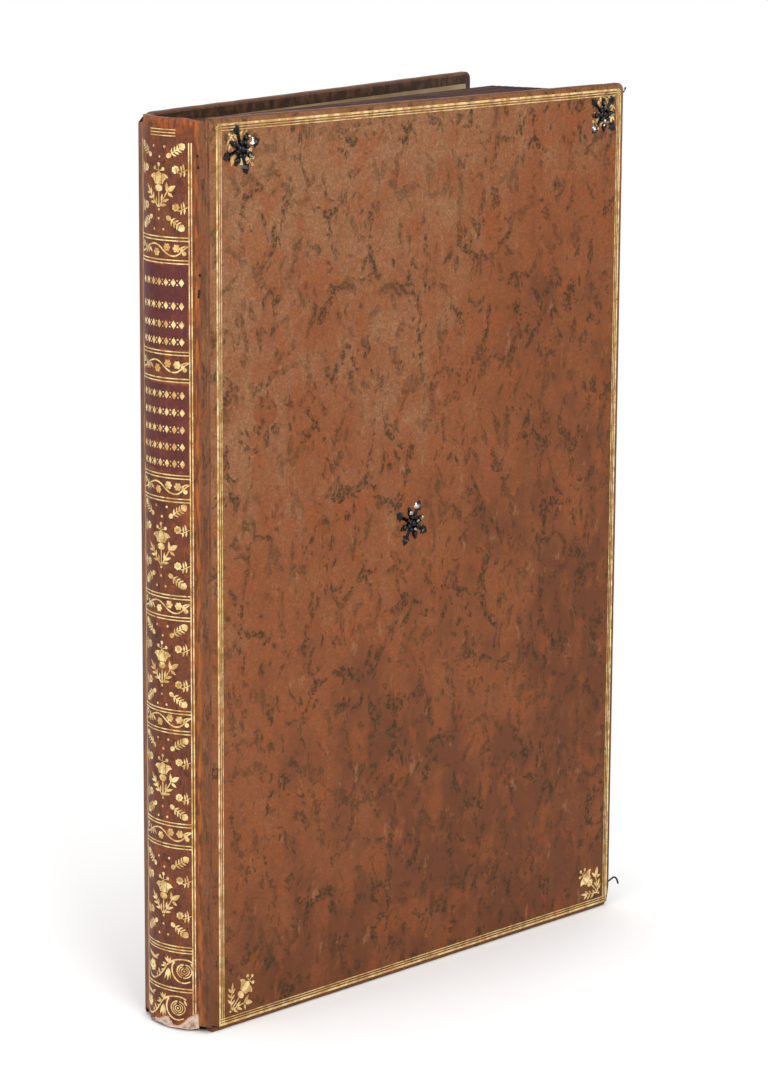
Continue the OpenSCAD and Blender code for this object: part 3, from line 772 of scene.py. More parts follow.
# Where each lies: its share of the flank, from the ridge, and its height in millimetres
worm_holes_at = ((0.75, 413.2), (0.7, 408.1), (0.6, 359.5), (0.64, 352.2), (0.67, 350.9), (0.7, 349.6))
flank_turn = 203
holes = bmesh.new()
for share, z in worm_holes_at:
    facing = Matrix.Rotation(math.radians(flank_turn), 4, "Z") @ Matrix.Rotation(math.radians(90), 4, "Y")
    spot = Vector(front_place(-flank_fall * share - 0.08 * mm, flank_y * share - 0.04 * mm, z * mm))
    bmesh.ops.create_circle(holes, cap_ends=True, segments=12, radius=worm_r,
                            matrix=Matrix.Translation(spot) @ facing)
# A near-black disc is painted shade for the hollow of a hole
hole_painted_shade, g = new_material("worm_hole_dark")
g.finish({"Base Color": srgb(22, 14, 10), "Roughness": 0.95})
worm_holes = placed("worm_holes", finished(holes, "worm_holes", [hole_painted_shade]))
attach(worm_holes, "book_block")

# Spine labels
# Two skivers of purple goatskin pasted on the round of the spine. They are pared thin at their edges, and the
# calf under them shows through where they are rubbed.
label_t = 0.25 * mm
label_half = 16.2 * mm
# Width over which a label is pared at its ends, and at its head and tail
pared_end, pared_side = 1.2 * mm, 0.9 * mm
# Where the labels lie on the hide
label_hide_from = 0.4


def label_skin(name, node, material):
    """One label, as high as its node. It thins towards its edges, and its ends are a little ragged."""
    low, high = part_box(node)[0].z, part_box(node)[1].z
    rows, hides, wears = [], [], []
    for s in spread(-label_half, label_half, 60):
        near_end = min(1.0, (label_half - abs(s)) / pared_end)
        line = []
        for z in spread(low, high, 24):
            full = max(0.0, min(near_end, (z - low) / pared_side, (high - z) / pared_side))
            ragged = 0.2 * mm * noise.noise(Vector((s * 300, z * 300, 5))) if near_end < 0.2 else 0.0
            line.append((s + ragged, z, full))
        rows.append([at_spine(spot, 0.3 * label_t * full + 0.03 * mm, z) for spot, z, full in line] +
                    [at_spine(spot, -0.2 * mm, z) for spot, z, _ in reversed(line)])
        hides.append([(spot + label_hide_from, z) for spot, z, _ in line + line[::-1]])
        wears.append([0.8 * (1 - full) for _, _, full in line] + [0.5] * len(line))
    label = loft(name, rows, [material], hides, wears)
    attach(label, "book_block")
    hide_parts(node)


label_colours = {"Pale": (134, 76, 62), "Body": (102, 52, 46), "Dark": (78, 40, 42), "Flame": (126, 66, 48),
                 "Stain": (62, 32, 36), "Rubbed": (156, 88, 52)}
label_leather = calf_material("label_morocco", label_colours, 0.6, tone_shift=0.42, bump=0.5)
label_skin("title_label_skin", "title_label", label_leather)
label_skin("volume_label_skin", "volume_label", label_leather)

# Paper lining, endbands, boards and cords
# Under the calf are pale paper pasted over the back, endbands of wound thread, pasteboard, and hemp cords
# whose frayed ends are laced into the boards. They show only at the torn tail, at the head and inside the
# open covers.


def plain_material(name, light, dark, scale, roughness, bump, contrast=(0.4, 0.62)):
    """A dry, fibrous stuff of two colours that mix in a noise of the given scale"""
    material, graph = new_material(name)
    place = graph.add("ShaderNodeTexCoord").outputs["Object"]
    clouds = graph.noise(place, scale, 5, 0.65)
    fibres = graph.noise(place, scale * 14, 3, 0.6)
    colour = graph.mix(graph.step(clouds, *contrast), srgb(*dark), srgb(*light))
    colour = graph.mix(graph.times(graph.step(fibres, 0.62, 0.4), 0.4), colour, srgb(*dark))
    graph.finish({"Base Color": colour, "Roughness": roughness, "Specular IOR Level": 0.2},
                 graph.plus(fibres, graph.times(clouds, 0.7)), bump)
    return material


def dress(node, material):
    """Gives one of the frame's own pieces a material"""
    slots = frame["nodes"][node].data.materials
    slots.clear()
    slots.append(material)


lining_paper = plain_material("lining_paper", (226, 202, 184), (150, 116, 96), 160, 0.9, 0.6,
                              contrast=(0.3, 0.5))
pasteboard = plain_material("pasteboard", (176, 150, 118), (118, 92, 66), 120, 0.95, 0.5)
hemp = plain_material("hemp_cord", (196, 168, 122), (138, 108, 70), 300, 0.9, 0.7)
endpaper = plain_material("endpaper", (162, 140, 107), (138, 114, 84), 14, 0.85, 0.15)
thread = plain_material("endband_thread", (196, 92, 70), (120, 44, 38), 400, 0.7, 0.6)
for node, material in (
    ("spine_lining", lining_paper), ("front_board", pasteboard), ("rear_board", pasteboard),
    ("sewing_cords", hemp), ("front_slips", hemp), ("rear_slips", hemp),
    ("front_pastedown", endpaper), ("rear_pastedown", endpaper), ("front_endleaf", endpaper),
    ("head_endband", thread), ("tail_endband", thread),
):
    dress(node, material)

# Leaves
# Folded sheets sewn in gatherings, rounded and backed at the spine and fanned at the fore edge, where the
# rear cover stands open. Their edges were stained dark red and have browned with dust.
square_w = 4.5 * mm
fore_square = 7.5 * mm
gatherings = 18
leaves_in_gathering = 9
fan_angle = math.radians(8.9)
fan_root = 30 * mm
fan_bend = 40 * mm
fore_slant = 12.5 * mm
leaves_y = 5.85 * mm
leaves_t = book_t - 2 * leaves_y

leaf_tree = bpy.data.node_groups.new("fanned_leaves", "GeometryNodeTree")
for socket, kind in (
    ("Leaves", "Int"), ("Gatherings", "Int"), ("Thickness", "Float"), ("Height", "Float"), ("Width", "Float"),
    ("Fan", "Float"), ("Root", "Float"), ("Bend", "Float"), ("Slant", "Float"), ("Round", "Float"),
    ("Stuff", "Material"),
):
    leaf_tree.interface.new_socket(socket, in_out="INPUT", socket_type="NodeSocket" + kind)
leaf_tree.interface.new_socket("Leaves", in_out="OUTPUT", socket_type="NodeSocketGeometry")
g = Graph(leaf_tree)
given = g.add("NodeGroupInput").outputs
line = g.add("GeometryNodeMeshLine", {"Count": given["Leaves"], "Offset": (0, 0, 0)}).outputs[0]
flat_leaf = {"Size": (1, 1, 1), "Vertices X": 14, "Vertices Y": 2, "Vertices Z": 2}
sheet = g.add("GeometryNodeMeshCube", flat_leaf).outputs[0]
spots = g.add("GeometryNodeInstanceOnPoints", {"Points": line, "Instance": sheet}).outputs[0]
index = g.add("GeometryNodeInputIndex").outputs[0]
whole = g.minus(given["Leaves"], 1.0)
rank = g.math("DIVIDE", index, whole)
spots = g.add("GeometryNodeStoreNamedAttribute", {"Geometry": spots, "Name": "rank", "Value": rank},
              data_type="FLOAT", domain="INSTANCE").outputs[0]
sheets = g.add("GeometryNodeRealizeInstances", {"Geometry": spots}).outputs[0]
rank = g.add("GeometryNodeInputNamedAttribute", {"Name": "rank"}, data_type="FLOAT").outputs[0]
unit = g.split(g.add("GeometryNodeInputPosition").outputs[0])
along_x = g.plus(unit[0], 0.5)
luck = g.noise(g.join(g.times(rank, 300.0), 2.0, 0.0), 1.0, 1)
gathering = g.math("FLOOR", g.times(rank, g.times(given["Gatherings"], 0.999)))
group_rank = g.math("DIVIDE", gathering, given["Gatherings"])
from_middle = g.minus(g.times(rank, 2.0), 1.0)
hollow = g.times(given["Round"], g.minus(1.0, g.times(from_middle, from_middle)))
fan = g.times(given["Fan"], g.math("MULTIPLY_ADD", group_rank, 0.25, g.times(rank, 0.72)))
far = g.minus(g.times(given["Width"], g.math("COSINE", fan)), g.times(hollow, 0.35))
slant = g.times(given["Slant"], g.times(group_rank, group_rank))
far = g.minus(far, slant)
far = g.plus(far, g.times(g.minus(luck, 0.6), 0.0016))
near = g.times(hollow, -1.0)
x = g.plus(near, g.times(along_x, g.minus(far, near)))
past_root = g.most(g.minus(x, given["Root"]), 0.0)
eased = g.math("DIVIDE", g.times(past_root, past_root), g.plus(past_root, given["Bend"]))
drift = g.times(eased, g.math("TANGENT", fan))
y = g.plus(g.times(rank, given["Thickness"]), drift)
step_t = g.times(g.math("DIVIDE", given["Thickness"], whole), 0.86)
y = g.plus(y, g.times(unit[1], step_t))
z = g.times(g.plus(unit[2], 0.5), g.plus(given["Height"], g.times(g.minus(luck, 0.5), -0.0006)))
sheets = g.add("GeometryNodeSetPosition", {"Geometry": sheets, "Position": g.join(x, y, z)}).outputs[0]
sheets = g.add("GeometryNodeSetMaterial", {"Geometry": sheets, "Material": given["Stuff"]}).outputs[0]
g.set(g.add("NodeGroupOutput").inputs[0], sheets)


def grown(name, tree, inputs, mesh=None):
    """A plain mesh made by a geometry tree"""
    source = placed(name, mesh or bpy.data.meshes.new(name))
    modifier = source.modifiers.new("grow", "NODES")
    modifier.node_group = tree
    for item in tree.interface.items_tree:
        if item.item_type == "SOCKET" and item.in_out == "INPUT" and item.name in inputs:
            modifier[item.identifier] = inputs[item.name]
    bpy.context.view_layer.update()
    result = source.evaluated_get(bpy.context.evaluated_depsgraph_get())
    plain = bpy.data.meshes.new_from_object(result)
    source.modifiers.remove(modifier)
    source.data = plain
    plain.name = name
    return source


edge_material, g = new_material("leaf_edges")
spot = g.add("ShaderNodeTexCoord").outputs["Object"]
normal = g.split(g.add("ShaderNodeNewGeometry").outputs["Normal"])
from_middle = g.math("ABSOLUTE", g.minus(g.split(spot)[2], cover_h / 2))
depth_in = g.minus((cover_h - square_w) / 2, from_middle)
# The leaves' faces turn from the dark edge colour to paper between 4 and 30 mm in from the head and tail:
# partly dye soaked in from the edge, partly painted shade in the gaps between the leaves
flat_side = g.times(g.step(g.math("ABSOLUTE", normal[1]), 0.8, 0.95), g.step(depth_in, 0.004, 0.03))
dust = g.noise(spot, 30, 5, 0.6)
fine = g.noise(g.vector("MULTIPLY", spot, (0.08, 1.0, 0.08)), 2600, 2, 0.6)
edge = g.mix(g.step(dust, 0.38, 0.62), srgb(54, 32, 32), srgb(78, 50, 44))
edge = g.mix(g.times(g.step(fine, 0.55, 0.4), 0.7), edge, srgb(58, 34, 34))
paper = g.mix(g.step(dust, 0.4, 0.6), srgb(206, 188, 152), srgb(188, 164, 122))
g.finish({"Base Color": g.mix(flat_side, edge, paper), "Roughness": 0.8, "Specular IOR Level": 0.25})

leaves = grown("leaves", leaf_tree, {
    "Leaves": gatherings * leaves_in_gathering, "Gatherings": gatherings, "Thickness": leaves_t,
    "Height": cover_h - 2 * square_w, "Width": cover_w - fore_square, "Fan": fan_angle, "Root": fan_root,
    "Bend": fan_bend, "Slant": fore_slant, "Round": swell, "Stuff": edge_material,
})
leaves.data.transform(Matrix.Translation((joint_x, front_y + leaves_y, square_w)))
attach(leaves, "book_block")
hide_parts("text_block")

# Rear endleaf
# The free leaf of plain paper behind the last gathering. It is fixed to that gathering at the joint and
# follows its bend, a little off it and a little longer.
endleaf_off, endleaf_t = 0.06 * mm, 0.3 * mm
endleaf_start = 2.2 * mm
endleaf_over = 0.5 * mm


def rear_endleaf_row(x, z):
    """The leaf's two faces at one place, past the bend of the last gathering"""
    past_root = max(0.0, x - fan_root)
    slope = math.tan(fan_angle * (gatherings - 1) / gatherings)
    y = leaves_y + leaves_t + slope * past_root * past_root / (past_root + fan_bend) + endleaf_off
    return front_place(x, y, z), front_place(x, y + endleaf_t, z)


endleaf_end = (cover_w - fore_square) * math.cos(fan_angle) - fore_slant + endleaf_over
rows = []
for x in spread(endleaf_start, endleaf_end, 16):
    (a, b), (c, d) = rear_endleaf_row(x, square_w), rear_endleaf_row(x, cover_h - square_w)
    rows.append([a, b, d, c])
rear_endleaf = loft("rear_endleaf_sheet", rows, [endpaper])
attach(rear_endleaf, "book_block")
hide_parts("rear_endleaf")

# Gilt tooling
# Gold leaf struck into the calf with hot brass tools and rolls: fillets round the cover, flowers and sprays
# on the spine, scrolls at its tail. Each tool is drawn flat once and struck again and again; the gold is
# rubbed away in places.
gold_t = 0.06 * mm


class Tool:
    """A brass tool's face, drawn flat in millimetres and cut as a thin plate"""

    def __init__(self):
        self.made = bmesh.new()

    def plate(self, outline):
        """A flat shape with the given outline"""
        low = [self.made.verts.new((x * mm, z * mm, -gold_t)) for x, z in outline]
        high = [self.made.verts.new((x * mm, z * mm, gold_t)) for x, z in outline]
        self.made.faces.new(high)
        self.made.faces.new(list(reversed(low)))
        for i in range(len(outline)):
            j = (i + 1) % len(outline)
            self.made.faces.new((low[i], low[j], high[j], high[i]))

    def strip(self, top, low):
        """A line between two edges, in as many steps as they have"""
        rings = []
        for (x0, z0), (x1, z1) in zip(top, low):
            ring = ((x0, z0, gold_t), (x1, z1, gold_t), (x1, z1, -gold_t), (x0, z0, -gold_t))
            rings.append([self.made.verts.new((x * mm, z * mm, y)) for x, z, y in ring])
        for a, b in zip(rings, rings[1:]):
            for i in range(4):
                j = (i + 1) % 4
                self.made.faces.new((a[i], a[j], b[j], b[i]))
        self.made.faces.new(rings[0])
        self.made.faces.new(list(reversed(rings[-1])))

    def oval(self, x, z, half_w, half_h, sides):
        turns = [2 * math.pi * i / sides for i in range(sides)]
        self.plate([(x + half_w * math.cos(a), z + half_h * math.sin(a)) for a in turns])

    def dot(self, x, z, r, sides=8):
        self.oval(x, z, r, r, sides)

    def leaf(self, x0, z0, x1, z1, width):
        """A pointed leaf from its root to its tip"""
        root, run = Vector((x0, z0)), Vector((x1 - x0, z1 - z0))
        side = Vector((-run.y, run.x)).normalized()
        line = []
        for t in spread(0, 1, 6):
            line.append((root + run * t, side * (width * 0.5 * math.sin(math.pi * t ** 0.8) + 0.04)))
        self.plate([tuple(p + half) for p, half in line] + [tuple(p - half) for p, half in reversed(line)])

    def leaves(self, *each):
        for leaf in each:
            self.leaf(*leaf)

    def stroke(self, points, width, end):
        """A line that tapers from the one width to the other"""
        points = [Vector(p) for p in points]
        left, right = [], []
        for i, p in enumerate(points):
            run = (points[min(i + 1, len(points) - 1)] - points[max(i - 1, 0)]).normalized()
            side = Vector((-run.y, run.x)) * (width + (end - width) * i / (len(points) - 1)) / 2
            left.append(tuple(p + side))
            right.append(tuple(p - side))
        self.plate(left + list(reversed(right)))

    def blossom(self, x, z, r, petals):
        for i in range(petals):
            a = 2 * math.pi * i / petals
            self.dot(x + 0.66 * r * math.cos(a), z + 0.66 * r * math.sin(a), 0.36 * r, 7)

    def mesh(self, name):
        bmesh.ops.recalc_face_normals(self.made, faces=self.made.faces)
        return finished(self.made, name)

    def take_in(self, part, x, z, flip):
        """Adds another tool's face at a place, upside down where the flip is -1"""
        for vert in part.made.verts:
            vert.co.x += x * mm
            vert.co.y = vert.co.y * flip + z * mm
        mesh = part.mesh("part")
        self.made.from_mesh(mesh)
        bpy.data.meshes.remove(mesh)


def smooth(points, steps=5):
    """A smooth line through a tool's drawn points"""
    ends = [points[0]] + points + [points[-1]]
    line = []
    for four in zip(ends, ends[1:], ends[2:], ends[3:]):
        a, b, c, d = (Vector(p) for p in four)
        for t in spread(0, 1, steps)[:-1]:
            bent = (2 * a - 5 * b + 4 * c - d) * t ** 2 + (3 * b - a - 3 * c + d) * t ** 3
            line.append(tuple(0.5 * (2 * b + (c - a) * t + bent)))
    return line + [tuple(points[-1])]


def tulip(tool):
    """A tulip with three stamens, between a leafy branch and a small open flower"""
    tool.plate([(-1.5, 0.9), (-1.9, 2.8), (-1.6, 5.9), (-0.7, 6.3), (0, 6.9), (0.7, 6.3), (1.6, 5.9),
                (1.9, 2.8), (1.5, 0.9)])
    petal = [(-1.8, 0.9), (-2.2, 2.9), (-1.9, 5.8), (-3.0, 5.7), (-4.4, 5.3), (-5.6, 4.0), (-4.1, 3.4),
             (-3.0, 2.3), (-2.4, 1.0)]
    for side in (1, -1):
        tool.plate([(side * x, z) for x, z in petal])
    tool.oval(0, -0.9, 2.3, 1.6, 16)
    for x, z in ((0, 9.8), (-2.5, 8.1), (2.7, 7.8)):
        tool.stroke([(x * 0.2, 7.0), (x * 0.8, z - 0.5)], 0.35, 0.35)
        tool.dot(x, z, 0.85)
    tool.stroke([(0, -2.6), (0.1, -6.0), (0, -9.2)], 0.5, 0.7)
    tool.dot(0, -10.6, 0.6)
    tool.stroke(smooth([(-0.3, -9.5), (-2.0, -7.7), (-4.2, -5.3), (-6.0, -3.0)]), 0.75, 0.5)
    tool.leaves(
        (-5.7, -3.3, -8.6, 0.4, 1.3), (-5.8, -3.6, -9.0, -3.3, 1.1), (-5.2, -4.2, -5.3, -0.8, 1.1),
        (-4.1, -5.5, -7.6, -5.5, 1.1), (-3.6, -6.0, -3.5, -3.0, 1.1), (-2.2, -7.6, -5.6, -7.4, 1.1),
        (-1.6, -8.1, -1.6, -4.9, 1.0))
    tool.stroke(smooth([(0.3, -9.5), (1.8, -7.2), (3.4, -4.7), (5.0, -2.2)]), 0.7, 0.5)
    tool.leaves(
        (0.9, -8.7, 4.6, -8.2, 1.2), (2.0, -7.1, 6.0, -5.6, 1.3), (1.7, -7.2, 2.1, -3.4, 1.1),
        (5.0, -2.6, 4.6, 1.9, 1.4), (5.2, -2.0, 9.4, 0.6, 2.3), (5.3, -2.7, 7.9, -4.6, 1.3))


def spray(tool, side):
    """A leafy spray that rises outwards from a round bud to a heavy one"""
    run, across = Vector((0.85, 0.53)), Vector((-0.53, 0.85))

    def at(forward, sideways):
        spot = run * forward + across * sideways
        return side * spot.x, spot.y

    tool.plate([at(1.35 * math.cos(a), 1.15 * math.sin(a)) for a in spread(0, 2 * math.pi, 12)[:-1]])
    tool.stroke([at(1.2, 0), at(3.5, 0.2), at(6.6, 0)], 0.5, 0.5)
    for forward in (1.7, 3.4, 5.0):
        for lean in (-1, 1):
            tool.leaf(*at(forward, 0), *at(forward + 1.5, 2.2 * lean), 0.75)
    heavy_bud = ((6.5, 0.5), (7.0, 1.9), (8.4, 1.7), (9.5, 0.5), (9.0, -0.9), (7.6, -1.7), (6.5, -0.6))
    tool.plate([at(*spot) for spot in heavy_bud])


def sprig(tool, side):
    """An open ring of petals with a leafy twig beside it"""
    tool.blossom(0, 0, 1.9, 7)
    tool.dot(0, 0, 0.45, 6)
    tool.stroke([(side * x, z) for x, z in smooth([(1.5, -1.7), (3.2, -1.1), (5.7, 0.2)], 3)], 0.5, 0.3)
    for x0, z0, x1, z1 in ((3.0, -1.0, 2.6, 1.9), (4.2, -0.4, 3.6, 2.7), (2.8, -1.3, 2.4, -3.3),
                           (4.4, -0.6, 4.1, -3.1)):
        tool.leaf(side * x0, z0, side * x1, z1, 0.75)


def compartment(tool):
    """One panel of the spine: a tulip, sprays in the corners, sprigs at the sides and dots"""
    tulip(tool)
    for side in (-1, 1):
        for draw, x, z, flip in ((spray, 6.0, 14.0, 1), (spray, 5.6, -14.2, -1), (sprig, 9.4, 7.8, 1),
                                 (sprig, 9.4, -9.2, 1)):
            part = Tool()
            draw(part, side)
            tool.take_in(part, side * x, z, flip)
    for x, z in ((-3.2, 18.0), (3.6, 18.0), (0.6, 13.3), (-0.2, -14.7), (-3.2, -19.6), (2.7, -19.4)):
        tool.dot(x, z, 0.62)


def running_roll(tool):
    """A waving stem with blossoms in its hollows"""
    stem = [(-15.2, -2.4), (-11.6, -1.4), (-7.7, 0.9), (-3.3, 2.2), (0.2, 1.3), (3.2, -1.0), (6.1, -2.6),
            (9.1, -2.8), (11.6, -1.3), (13.6, 0.6), (15.2, 1.7)]
    tool.stroke(smooth(stem, 3), 0.7, 0.7)
    for x, z in ((-1.6, -1.5), (4.6, 1.0), (9.6, 0.6)):
        tool.blossom(x, z, 1.9, 6)
        tool.dot(x, z, 1.0, 7)
    tool.blossom(-13.4, 1.3, 1.6, 6)
    tool.dot(13.3, -1.6, 1.1)
    tool.leaves(
        (-10.6, -0.8, -9.9, 2.0, 1.0), (-9.6, -0.4, -10.2, -2.8, 1.1), (-8.4, 0.4, -7.6, -2.4, 1.2),
        (-7.4, 0.6, -4.8, -1.8, 1.1), (11.6, -0.8, 12.6, 1.5, 0.9), (11.4, 0.8, 14.6, 2.0, 0.6))


def great_scroll(tool):
    """A branch that curls round a ripe fruit, with an open flower in its other hollow"""
    branch = [(-24.6, -3.0), (-23.0, -6.0), (-19.2, -6.6), (-14.8, -4.3), (-11.7, -1.1), (-9.4, 2.0),
              (-6.9, 4.2), (-3.8, 5.3), (-0.5, 5.7), (2.2, 5.4), (4.2, 4.4)]
    curl = [(-5.0, 4.4), (-6.2, 2.4), (-6.5, 0.0), (-5.9, -2.3), (-4.2, -4.4), (-2.0, -5.6), (0.4, -5.8),
            (2.9, -5.0)]
    tool.stroke(smooth(branch, 3), 0.8, 0.6)
    tool.stroke(smooth([(-9.0, 2.2), (-6.9, 3.6), (-5.6, 4.2)], 3), 0.5, 0.3)
    tool.stroke(smooth(curl, 3), 1.0, 0.5)
    for r, start, end, width in ((3.7, 95, 250, 0.9), (3.7, -100, 80, 0.6), (2.6, 110, 260, 0.5),
                                 (2.5, -80, 70, 0.5), (1.5, 100, 440, 0.45)):
        turns = [math.radians(a) for a in spread(start, end, 14)]
        tool.stroke([(r * math.cos(a), 0.9 * r * math.sin(a)) for a in turns], width, 0.6 * width)
    tool.dot(0, 0, 0.5)
    tool.blossom(-20.6, -0.6, 3.0, 7)
    tool.blossom(-20.6, -0.6, 1.4, 6)
    tool.leaves(
        (-8.4, 3.4, -10.9, 5.4, 1.0), (-8.6, 3.6, -9.4, 6.3, 1.0), (-8.2, 3.4, -7.2, 6.0, 0.9),
        (-10.0, 1.6, -13.6, 0.8, 1.1), (-9.8, 2.0, -12.4, 2.8, 0.9), (-8.6, 0.6, -11.2, -5.2, 1.3),
        (-8.4, 0.4, -7.3, -4.6, 1.2), (-8.5, 0.2, -9.2, -5.8, 1.2), (-10.8, -0.8, -13.4, -1.2, 0.9),
        (-16.4, -5.2, -16.8, -2.6, 1.0), (-14.0, -3.8, -15.6, -0.8, 1.0), (-24.2, 5.0, -16.0, 3.4, 1.6),
        (-18.4, 3.8, -14.8, 5.9, 1.1), (-22.0, 4.4, -24.6, 6.2, 1.0), (-24.0, -2.8, -25.6, 1.4, 1.1),
        (4.6, 1.6, 3.2, 4.2, 0.9))


def line_tool(tool, half, heights, width):
    """Parallel lines side by side, cut in short steps so that they bend round the spine"""
    for z in heights:
        line = spread(-half, half, 60)
        tool.strip([(x, z + width / 2) for x in line], [(x, z - width / 2) for x in line])


gold, g = new_material("gold_leaf")
spot = g.add("ShaderNodeTexCoord").outputs["Object"]
rub = g.step(g.noise(spot, 420, 4, 0.7), 0.58, 0.68)
rub = g.times(rub, g.step(g.noise(spot, 60, 2), 0.36, 0.6))
rub = g.most(rub, g.times(g.step(g.noise(spot, 1100, 2, 0.6), 0.6, 0.72), 0.6))
tint = g.mix(g.step(g.noise(spot, 260, 3), 0.35, 0.65), srgb(238, 212, 148), srgb(190, 148, 82))
colour = g.mix(rub, tint, srgb(112, 70, 42))
metal = g.times(g.minus(1.0, rub), 0.45)
roughness = g.math("MULTIPLY_ADD", rub, 0.25, 0.36)
g.finish({"Base Color": colour, "Metallic": metal, "Roughness": roughness}, g.noise(spot, 900, 3), 0.5,
         0.0002)

strike_tree = bpy.data.node_groups.new("struck_round_the_spine", "GeometryNodeTree")
for socket, kind in (("Places", "Geometry"), ("Tool", "Object"), ("Radius", "Float"), ("Axis X", "Float"),
                     ("Axis Y", "Float"), ("Stuff", "Material")):
    strike_tree.interface.new_socket(socket, in_out="INPUT", socket_type="NodeSocket" + kind)
strike_tree.interface.new_socket("Gold", in_out="OUTPUT", socket_type="NodeSocketGeometry")
g = Graph(strike_tree)
given = g.add("NodeGroupInput").outputs
face = g.add("GeometryNodeObjectInfo", {"Object": given["Tool"]}).outputs["Geometry"]
struck = g.add("GeometryNodeInstanceOnPoints", {"Points": given["Places"], "Instance": face}).outputs[0]
struck = g.add("GeometryNodeRealizeInstances", {"Geometry": struck}).outputs[0]
flat = g.split(g.add("GeometryNodeInputPosition").outputs[0])
turn = g.math("DIVIDE", flat[0], given["Radius"])
reach = g.plus(given["Radius"], flat[2])
wrapped = g.join(
    g.minus(given["Axis X"], g.times(reach, g.math("COSINE", turn))),
    g.minus(given["Axis Y"], g.times(reach, g.math("SINE", turn))),
    flat[1],
)
struck = g.add("GeometryNodeSetPosition", {"Geometry": struck, "Position": wrapped}).outputs[0]
struck = g.add("GeometryNodeSetMaterial", {"Geometry": struck, "Material": given["Stuff"]}).outputs[0]
g.set(g.add("NodeGroupOutput").inputs[0], struck)


# A tool is cut at every millimetre between these, the edges of the widest one, to bend round the spine
cut_from, cut_to = -26, 17


def strike(name, draw, places, lift=0.0):
    """Strikes one tool at each place (s, z), in millimetres, round the spine"""
    tool = Tool()
    draw(tool)
    for cut in range(cut_from, cut_to + 1):
        parts = tool.made.verts[:] + tool.made.edges[:] + tool.made.faces[:]
        bmesh.ops.bisect_plane(tool.made, geom=parts, dist=1e-6, plane_co=(cut * mm, 0, 0),
                               plane_no=(1, 0, 0))
    face = bpy.data.objects.new(name + "_face", tool.mesh(name + "_face"))
    spots = bpy.data.meshes.new(name)
    spots.from_pydata([(s * mm, z * mm, lift) for s, z in places], [], [])
    inputs = {"Tool": face, "Radius": spine_r, "Axis X": axis_x, "Axis Y": axis_y, "Stuff": gold}
    struck = grown(name, strike_tree, inputs, spots)
    bpy.data.objects.remove(face)
    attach(struck, "book_block")


# Where the spine's tools are struck, in millimetres: the pattern's middle is a little towards the front, and
# heights are from the tail
middle_s = 0.6
pattern_half = 15.8
flower_z = (399.0, 233.7, 177.5, 123.4, 66.1)
roll_z = (370.6, 317.4, 261.0, 205.0, 150.9, 95.9)
line_pairs = ((376.2, 374.6), (365.8, 364.3), (324.1, 322.4), (311.7, 310.0), (267.0, 265.3), (255.9, 254.5),
              (210.6, 208.8), (200.2, 199.0), (155.8, 154.5), (146.2, 144.9), (101.5, 100.1), (90.9, 89.6),
              (21.0, 19.4))
side_lines_low, side_lines_high = 8.5, 419
label_row_z = (355.6, 345.0, 336.4, 328.6, 304.0, 296.0, 288.0, 280.0, 272.2)
over_flowers, over_label = 0.1 * mm, 0.12 * mm


def pair_of_lines(tool):
    line_tool(tool, pattern_half, (0.75, -0.75), 0.55)


def three_tail_lines(tool):
    line_tool(tool, pattern_half, (1.4, -0.1, -1.5), 0.5)


def three_head_lines(tool):
    line_tool(tool, 7.5, (1.4, 0.0, -1.4), 0.4)


def upright_lines(tool):
    """The double line along one side of the pattern, from the tail to the head"""
    heights = spread(side_lines_low, side_lines_high, 40)
    for x in (-0.6, 0.6):
        tool.strip([(x + 0.27, z) for z in heights], [(x - 0.27, z) for z in heights])


def lozenge_row(tool):
    """A row of lozenges between pairs of dots"""
    for i in range(-3, 4):
        x = i * 4.0
        tool.plate([(x - 1.3, 0), (x, 1.9), (x + 1.3, 0), (x, -1.9)])
        if i < 3:
            tool.dot(x + 2.0, 1.0, 0.42, 7)
            tool.dot(x + 2.0, -1.0, 0.42, 7)


strike("spine_flowers", compartment, [(middle_s, z) for z in flower_z])
strike("spine_lines", pair_of_lines, [(middle_s, (a + b) / 2) for a, b in line_pairs], over_flowers)
strike("spine_rolls", running_roll, [(middle_s, z) for z in roll_z])
strike("tail_lines", three_tail_lines, [(middle_s, 40.1)])
strike("tail_scrolls", great_scroll, [(12.0, 29.7), (8.6, 11.2)])
strike("head_lines", three_head_lines, [(2.5, 423.3)])
strike("spine_side_lines", upright_lines, [(16.85, 0), (-16.0, 0)])
strike("label_rows", lozenge_row, [(middle_s, z) for z in label_row_z], over_label)


def on_face(x, z, turn=0):
    """Stands a flat drawing on the front cover's face, at a place in millimetres and turned by degrees"""
    place = Matrix.Translation((joint_x + x * mm, front_y, z * mm))
    upright = place @ Matrix.Rotation(math.radians(90), 4, "X")
    return upright @ Matrix.Rotation(math.radians(turn), 4, "Z")


def on_cover(name, draw, places, body):
    """Strikes a tool on the flat of the front cover at each place (x, z, turn)"""
    made = bmesh.new()
    for x, z, turn in places:
        tool = Tool()
        draw(tool)
        mesh = tool.mesh("face")
        mesh.transform(on_face(x, z, turn))
        made.from_mesh(mesh)
        bpy.data.meshes.remove(mesh)
    struck = placed(name, finished(made, name, [gold]))
    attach(struck, body)


# How far the fillets lie in from the cover's edges, at the joint, the fore edge, the tail and the head
fillet_joint, fillet_fore, fillet_tail, fillet_head = 6.0, 2.4, 2.0, 2.6
corner_places = [(20.8, 15.3, -45), (272.5, 15.5, 45), (21.8, 414.7, -135), (272.9, 415.6, 135)]


def cover_fillets(tool):
    """Three lines round the cover, the outer one broad, crossing at the corners"""
    left, right = fillet_joint, cover_w / mm - fillet_fore
    low, high = fillet_tail, cover_h / mm - fillet_head
    for gap, width in ((0.6, 1.0), (2.0, 0.42), (3.2, 0.42)):
        half = width / 2
        for x in (left + gap, right - gap):
            heights = spread(low, high, 30)
            tool.strip([(x - half, z) for z in heights], [(x + half, z) for z in heights])
        for z in (low + gap, high - gap):
            line = spread(left, right, 30)
            tool.strip([(x, z + half) for x in line], [(x, z - half) for x in line])


